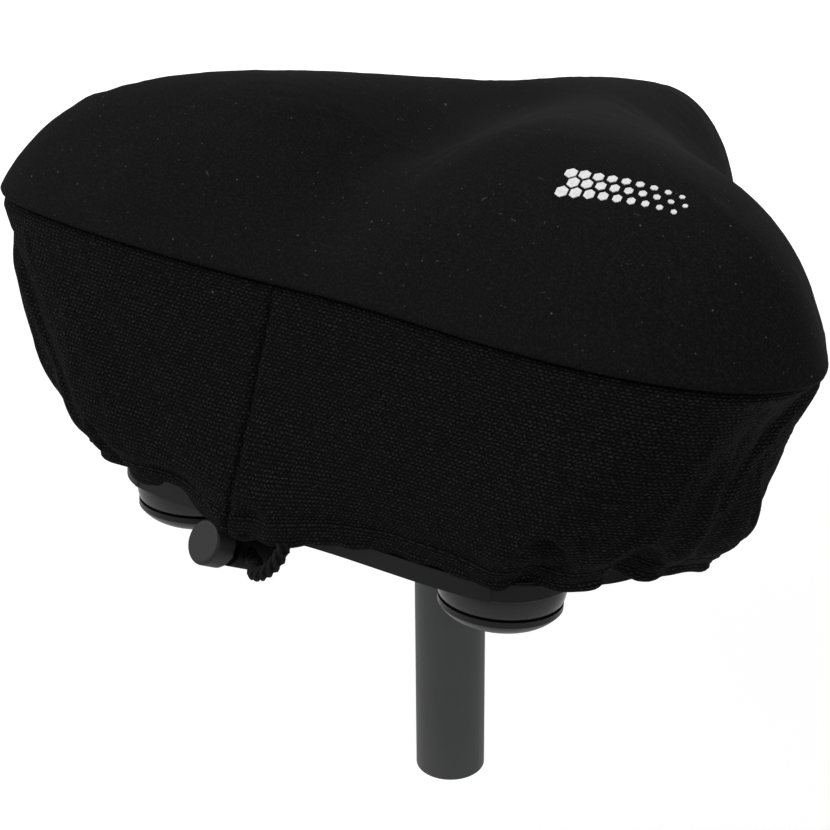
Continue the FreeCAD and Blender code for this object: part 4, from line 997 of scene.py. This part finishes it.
def stitch_tree():
    """Stitches laid end to end along a curve."""
    group, t, given, wanted = node_tree(
        "Stitch row", Float=("Pitch", "Length", "Thread"), Material=("Material",))
    points = t.add("GeometryNodeCurveToPoints", {"Curve": given["Geometry"], "Length": given["Pitch"]},
                   mode="LENGTH").outputs
    bead = t.add("GeometryNodeMeshUVSphere", {"Segments": 8, "Rings": 5, "Radius": 0.5}).outputs["Mesh"]
    shape = t.joined(X=given["Thread"], Y=given["Thread"], Z=given["Length"])
    place = t.add("GeometryNodeInstanceOnPoints", {
        "Points": points["Points"], "Instance": bead, "Rotation": points["Rotation"], "Scale": shape})
    finish_tree(t, place.outputs[0], given["Material"], wanted, True)
    return group


def honeycomb_tree():
    """Rows of printed six-sided cells that shrink along the patch, laid on a surface from above."""
    group, t, given, wanted = node_tree(
        "Printed honeycomb", Int=("Columns", "Rows"), Object=("Surface",), Material=("Material",),
        Float=("Cell", "Gap", "Smallest", "Film", "Centre X", "Centre Y", "Turn"))
    pitch = t.plus(given["Cell"], given["Gap"])
    width = t.times(t.minus(given["Columns"], 1.0), pitch)
    height = t.times(t.minus(given["Rows"], 1.0), t.times(pitch, math.sqrt(3) / 2))
    grid = t.add("GeometryNodeMeshGrid", {"Size X": width, "Size Y": height, "Vertices X": given["Columns"],
                                          "Vertices Y": given["Rows"]})
    row = t.math("MODULO", t.add("GeometryNodeInputIndex").outputs[0], given["Rows"])
    odd = t.times(t.math("MODULO", row, 2.0), t.times(pitch, 0.5))
    stagger = t.add("GeometryNodeSetPosition", {"Geometry": grid.outputs["Mesh"], "Offset": t.joined(X=odd)})
    cell = t.add("GeometryNodeMeshCylinder", {
        "Vertices": 6, "Side Segments": 1, "Radius": t.math("DIVIDE", given["Cell"], math.sqrt(3)),
        "Depth": given["Film"]})
    here = t.parts(t.add("GeometryNodeInputPosition").outputs[0])
    share = t.plus(t.math("DIVIDE", here["X"], width), 0.5)
    fade = t.times(share, t.minus(given["Smallest"], 1.0), 1.0)
    place = t.add("GeometryNodeInstanceOnPoints", {
        "Points": stagger.outputs[0], "Instance": cell.outputs["Mesh"], "Rotation": t.joined(Z=math.pi / 6),
        "Scale": t.joined(X=fade, Y=fade, Z=1.0)})
    laid = t.add("GeometryNodeRealizeInstances", {"Geometry": place.outputs[0]})
    move = t.add("GeometryNodeTransform", {
        "Geometry": laid.outputs[0], "Translation": t.joined(X=given["Centre X"], Y=given["Centre Y"]),
        "Rotation": t.joined(Z=given["Turn"])})
    surface_below = t.add("GeometryNodeObjectInfo", {"Object": given["Surface"]})
    ray = t.add("GeometryNodeRaycast", {
        "Target Geometry": surface_below.outputs["Geometry"],
        "Source Position": t.joined(X=here["X"], Y=here["Y"], Z=1.0), "Ray Direction": (0, 0, -1)}).outputs
    above = t.plus(here["Z"], t.times(given["Film"], 0.3))
    landed = t.vector_math("ADD", ray["Hit Position"], t.vector_math("SCALE", ray["Hit Normal"], above))
    press = t.add("GeometryNodeSetPosition", {"Geometry": move.outputs[0], "Position": landed})
    finish_tree(t, press.outputs[0], given["Material"], wanted, False)
    return group


class SADDLE_OT_print(bpy.types.Operator):
    """Print a small plain honeycomb on the right lobe, where the cover carries its only marking"""

    bl_idname = "saddle.printed_patch"
    bl_label = "Printed patch"

    def execute(self, context):
        cover = context.scene.saddle_cover
        holder = add_object("printed_honeycomb", bpy.data.meshes.new("printed_honeycomb"))
        middle = in_row([PRINT_PLACE])[0]
        piece = grown("printed_honeycomb", holder, honeycomb_tree(), {
            "Columns": 9, "Rows": 3, "Cell": cover.cell_size, "Gap": cover.cell_gap, "Smallest": 0.45,
            "Film": 0.0003, "Centre X": float(middle[0]), "Centre Y": float(middle[1]), "Turn": PRINT_TURN,
            "Surface": bpy.data.objects["cover_top_cushion"], "Material": print_material(cover)})
        dress(piece, "top_cloth")
        return {"FINISHED"}


# ---- cord tail
def route_line(points, resolution, step):
    """Points step apart along the smooth curve that a route controls, in the row frame."""
    holder, spline = curve_object("route", in_row(points), "NURBS")
    spline.resolution_u = resolution
    spline.order_u = 3
    spline.use_endpoint_u = True
    bpy.context.view_layer.update()
    mesh = plain_mesh(holder)
    line = points_of(mesh)
    bpy.data.objects.remove(holder)
    bpy.data.meshes.remove(mesh)
    run = run_along(line)
    places = np.linspace(0, run[-1], max(3, int(round(run[-1] / step)) + 1))
    return np.stack([np.interp(places, run, line[:, k]) for k in range(3)], -1)


def cord_piece(name, line, section, braid_step, material):
    """A closed tube along a line; section gives each ring's radii from its distance along and the angles."""
    tangent = unit(np.gradient(line, axis=0))
    side = np.cross(tangent[0], (0, 0, 1.0))
    side /= np.linalg.norm(side)
    run = 0.0
    rings = []
    angles = full_turn(32)
    for i, point in enumerate(line):
        side = side - tangent[i] * side.dot(tangent[i])
        side /= np.linalg.norm(side)
        other = np.cross(tangent[i], side)
        if i:
            run += np.linalg.norm(point - line[i - 1])
        radii = section(run, angles)
        around = np.cos(angles)[:, None] * side + np.sin(angles)[:, None] * other
        rings.append(point + radii[:, None] * around)
    u, v = np.meshgrid(np.linspace(0, 1, len(angles) + 1), np.arange(len(rings)) * braid_step)
    piece = grid_mesh(name, np.array(rings), np.stack([u, v], -1))
    close_piece(piece)
    dress(piece, "cord_braid", material, name.rsplit("_", 1)[0])
    return piece


class SADDLE_OT_cord(bpy.types.Operator):
    """Make the braided tail of the drawcord and its stopper knot"""

    bl_idname = "saddle.cord"
    bl_label = "Drawcord tail"

    def execute(self, context):
        cord = context.scene.saddle_cord
        material = cord_material(cord)
        hole = LOCK_FACE + INTO_LOCK * CORD_HOLE
        route = [Vector(p) for p in CORD_ROUTE] + [hole + CORD_WAY * (LOCK_RADIUS + 4.8),
                                                   hole - CORD_WAY * (LOCK_RADIUS + 0.8)]

        def braid(run, angles):
            turn = 2 * math.pi * run / cord.braid_pitch
            ridge = np.cos(STRANDS * (angles + turn)) + 0.35 * np.cos(STRANDS * (angles - 2 * turn))
            return cord.diameter / 2 - cord.braid_relief * (1 - ridge)

        line = route_line(route, 24, TAIL_STEP)
        tail = cord_piece("cord_tail_braid", line, braid, TAIL_STEP / cord.braid_pitch, material)

        # A stopper knot: turns of cord drawn tight round its end.
        centre = hole - CORD_WAY * (LOCK_RADIUS + 3.6)
        turns = []
        for i in range(KNOT_POINTS + 1):
            turn = i / KNOT_POINTS * KNOT_TURNS * 2 * math.pi
            turns.append(centre + CORD_WAY * (KNOT_LENGTH / 2 - KNOT_LENGTH * i / KNOT_POINTS)
                         + (INTO_LOCK * math.cos(turn) + LOCK_UP * math.sin(turn)) * KNOT_RADIUS)
        knot = cord_piece("cord_knot_turns", route_line(turns, 8, KNOT_STEP),
                          lambda run, angles: np.full(len(angles), KNOT_CORD), KNOT_STEP / cord.braid_pitch,
                          material)
        return {"FINISHED"}


# ---- bumpers
def bumper_profile():
    """Radius and height round a bumper's section: its bulged side, the rim round the eye, its bore."""
    z = np.linspace(BUMPER_TOP, -1.6, 15)
    r = BUMPER_RADIUS - np.where(z > BUMPER_WIDEST, 1.6 * ((z - BUMPER_WIDEST) / 6.25) ** 2,
                                 0.85 * ((BUMPER_WIDEST - z) / 4.4) ** 2)
    inside = [(16.3, -1.75), (15.2, -1.75), (14.8, -1.5), (14.8, 1.5), (14.6, PLATE_TOP), (4.9, PLATE_TOP),
              (4.7, 1.8), (4.7, 8.9), (4.9, BUMPER_TOP), (15.8, BUMPER_TOP)]
    return list(zip(r, z)) + inside + [(r[0], z[0])]


def lip_return(name, side, material):
    """The end of the base's rear lip, swept round the bumper's cup."""
    degrees = np.linspace(LIP_START, LIP_END, 60)
    turns = np.radians(degrees)
    ends = 1 - smooth_step(LIP_START, LIP_START + 4, degrees) + smooth_step(LIP_END - 12, LIP_END, degrees)
    foot = LIP_FOOT + 1.2 * smooth_step(-62, 0, degrees)
    rings = []
    for depth, rise in ((0.3, 0.0), (0.0, 0.08), (0.0, 0.92), (0.3, 1.0), (LIP_WALL, 1.0), (LIP_WALL, 0.0)):
        radius = LIP_SWEEP - depth - 1.3 * ends
        rings.append(np.stack([side * (BUMPER_AXIS[0] + radius * np.cos(turns)),
                               BUMPER_AXIS[1] + radius * np.sin(turns),
                               foot + (LIP_HEAD - 0.1 - foot) * rise], -1))
    piece = grid_mesh(name, in_row(np.array(rings).transpose(1, 0, 2)))
    close_piece(piece, smooth=False)
    dress(piece, "base_plastic", material)


class SADDLE_OT_bumpers(bpy.types.Operator):
    """Make the two bulged elastomer bumpers, shaped as they stand before the saddle sinks on them"""

    bl_idname = "saddle.bumpers"
    bl_label = "Bumpers"

    def execute(self, context):
        material = moulded_material("bumper_elastomer", context.scene.saddle_hardware.bumper_colour, 0.2)
        angles = full_turn(96)
        for name, side in (("left", -1), ("right", 1)):
            rings = []
            for radius, height in bumper_profile():
                x, y = radius * np.cos(angles), radius * np.sin(angles)
                bridge = smooth_step(-9, -7.2, y) * (1 - smooth_step(13.2, 15, y)) * (x * side < 0)
                z = height + np.maximum(PLATE_TOP - height, 0) * bridge
                rings.append(np.stack([side * BUMPER_AXIS[0] + x, BUMPER_AXIS[1] + y, z], -1))
            piece = grid_mesh("bumper_bulge_" + name, in_row(rings))
            close_piece(piece)
            dress(piece, "bumper_elastomer", material, "bumper_" + name)
            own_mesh(piece)
            lip_return("lip_return_" + name, side, NODES["base_shell"].data.materials[0])
        return {"FINISHED"}


# ---- hard pieces
class SADDLE_OT_hardware(bpy.types.Operator):
    """Give the post, clamp, rails, base and cord lock their finishes"""

    bl_idname = "saddle.hardware"
    bl_label = "Hard pieces"

    def execute(self, context):
        hard = context.scene.saddle_hardware
        # Moulded and painted pieces: colour, roughness, shine, grain and coat.
        moulded = {"clamp_steel": ((0.02, 0.02, 0.021), 0.35),
                   "rail_steel": ((0.014, 0.014, 0.0145), 0.3, 0.5, 1.0, 0.3),
                   "plate_steel": ((0.014, 0.014, 0.0145), 0.3, 0.5, 1.0, 0.3),
                   "cap_plastic": (hard.cap_colour, 0.32, 0.3, 0.3),
                   "base_plastic": (hard.plastic_colour, 0.5, 0.25),
                   "foam": ((0.012, 0.012, 0.0125), 0.95, 0.1, 3.0),
                   "skin": ((0.008, 0.008, 0.008), 0.6, 0.2, 2.0),
                   "lock_plastic": (hard.lock_colour, 0.55, 0.4),
                   # lock_barrel is a darker copy of the lock's plastic, as painted shade for the barrel under the
                   # hem.
                   "lock_barrel": (hard.barrel_shaded_colour, 0.7, 0.08)}
        # Metals: colour, roughness and how metallic.
        brushed = {"post_steel": (hard.post_colour, 0.42, 0.55),
                   "fastener_steel": ((0.42, 0.42, 0.43), 0.3, 1.0),
                   "insert_brass": ((0.6, 0.42, 0.18), 0.3, 1.0),
                   "spring_steel": ((0.5, 0.5, 0.5), 0.25, 1.0)}
        finishes = {name: moulded_material(name, *values) for name, values in moulded.items()}
        finishes.update({name: brushed_material(name, *values) for name, values in brushed.items()})
        slots = {part["node"]: part["material_slot"] for part in frame["record"]["subparts"]}
        # The barrel gets that darker copy, which is painted shade.
        slots["cord_lock_barrel"] = "lock_barrel"
        for name, node in NODES.items():
            if slots[name] in finishes:
                node.data.materials.clear()
                node.data.materials.append(finishes[slots[name]])
        return {"FINISHED"}


# ---- camera, floor and lamps
class SADDLE_OT_stage(bpy.types.Operator):
    """Set up the camera, the pale floor and the soft studio light"""

    bl_idname = "saddle.stage"
    bl_label = "Stage"

    def execute(self, context):
        stage = context.scene.saddle_stage
        self.make_camera(context, stage)
        self.make_floor(stage)
        self.make_lamps(context, stage)
        context.scene.view_settings.view_transform = "Standard"
        return {"FINISHED"}

    def make_camera(self, context, stage):
        """The camera, aimed by azimuth, elevation and roll."""
        a, e, roll = stage.azimuth, stage.elevation, stage.roll
        ahead = Vector((-math.sin(a) * math.cos(e), math.cos(a) * math.cos(e), -math.sin(e)))
        right = Vector((math.cos(a), math.sin(a), 0))
        up = right.cross(ahead)
        right, up = right * math.cos(roll) + up * math.sin(roll), up * math.cos(roll) - right * math.sin(roll)
        data = bpy.data.cameras.new("camera")
        data.lens = stage.lens
        data.sensor_width = 36
        data.clip_start = 0.01
        camera = add_object("camera", data)
        camera.matrix_world = Matrix([(*row, where) for *row, where in zip(right, up, -ahead, stage.place)]
                                     + [(0, 0, 0, 1)])
        context.scene.camera = camera

    def make_floor(self, stage):
        """A wide pale floor that reads as white to the camera and keeps the object's shadow."""
        mesh = bpy.data.meshes.new("floor")
        corners = [(x * FLOOR_REACH, y * FLOOR_REACH, -stage.floor_drop)
                   for x, y in ((-1, -1), (1, -1), (1, 1), (-1, 1))]
        mesh.from_pydata(corners, [], [(0, 1, 2, 3)])
        floor = add_object("floor", mesh)
        t = Finish("floor_white")
        far = t.add("ShaderNodeVectorMath", {0: t.place()}, operation="LENGTH").outputs["Value"]
        glow = t.times(t.ramp(far, 0.6, 2.5), 0.6, 0.35)
        seen = t.times(glow, t.add("ShaderNodeLightPath").outputs["Is Camera Ray"])
        tone = t.add("ShaderNodeCombineColor", dict.fromkeys(range(3), seen)).outputs[0]
        floor.data.materials.append(t.shade({"Base Color": (0.8, 0.8, 0.8, 1), "Roughness": 0.9,
                                             "Emission Color": tone, "Emission Strength": 1.0}))

    def make_lamps(self, context, stage):
        """Soft lamps at both sides, above and behind, and a white world."""
        for name, (place, width, share) in LAMPS.items():
            data = bpy.data.lights.new(name, "AREA")
            data.energy = stage.lamp_power * share * LAMP_GAIN
            data.size = width
            lamp = add_object(name, data)
            lamp.location = place
            lamp.rotation_euler = (LAMP_AIM - Vector(place)).to_track_quat("-Z", "Y").to_euler()
        world = bpy.data.worlds.new("studio")
        context.scene.world = world
        world.use_nodes = True
        t = Tree(world.node_tree)
        background = next(n for n in world.node_tree.nodes if n.type == "BACKGROUND")
        background.inputs["Color"].default_value = (1, 1, 1, 1)
        seen = t.add("ShaderNodeLightPath").outputs["Is Camera Ray"]
        t.put(background.inputs["Strength"], t.times(seen, 1 - WORLD_LIGHT, WORLD_LIGHT))


# ---- panel and registration
class SADDLE_PT_panel(bpy.types.Panel):
    """The saddle's pieces and sizes in the sidebar"""

    bl_idname = "SADDLE_PT_panel"
    bl_label = "Covered saddle"
    bl_space_type = "VIEW_3D"
    bl_region_type = "UI"
    bl_category = "Saddle"

    def draw(self, context):
        scene = context.scene
        for label, group, operators in (
                ("Stage", scene.saddle_stage, ("saddle.stage",)),
                ("Cover", scene.saddle_cover,
                 ("saddle.cover_top", "saddle.printed_patch", "saddle.cover_skirt")),
                ("Cord", scene.saddle_cord, ("saddle.cord",)),
                ("Hard pieces", scene.saddle_hardware, ("saddle.hardware", "saddle.bumpers"))):
            box = self.layout.box()
            box.label(text=label)
            for name in group.__annotations__:
                box.prop(group, name)
            for operator in operators:
                box.operator(operator)


CLASSES = (CoverSettings, CordSettings, HardwareSettings, StageSettings, SADDLE_OT_stage, SADDLE_OT_cord,
           SADDLE_OT_cover_top, SADDLE_OT_print, SADDLE_OT_cover_skirt, SADDLE_OT_hardware, SADDLE_OT_bumpers,
           SADDLE_PT_panel)
SETTINGS = {"saddle_cover": CoverSettings, "saddle_cord": CordSettings, "saddle_hardware": HardwareSettings,
            "saddle_stage": StageSettings}


def register():
    """Add the classes and the scene's settings."""
    for cls in CLASSES:
        bpy.utils.register_class(cls)
    for name, group in SETTINGS.items():
        setattr(bpy.types.Scene, name, bpy.props.PointerProperty(type=group))


def unregister():
    """Take them away again."""
    for name in SETTINGS:
        delattr(bpy.types.Scene, name)
    for cls in reversed(CLASSES):
        bpy.utils.unregister_class(cls)


def main():
    """Make every piece in order."""
    register()
    bpy.ops.saddle.stage()
    bpy.ops.saddle.cord()
    bpy.ops.saddle.cover_top()
    bpy.ops.saddle.printed_patch()
    bpy.ops.saddle.cover_skirt()
    bpy.ops.saddle.hardware()
    bpy.ops.saddle.bumpers()


if __name__ == "__main__":
    main()
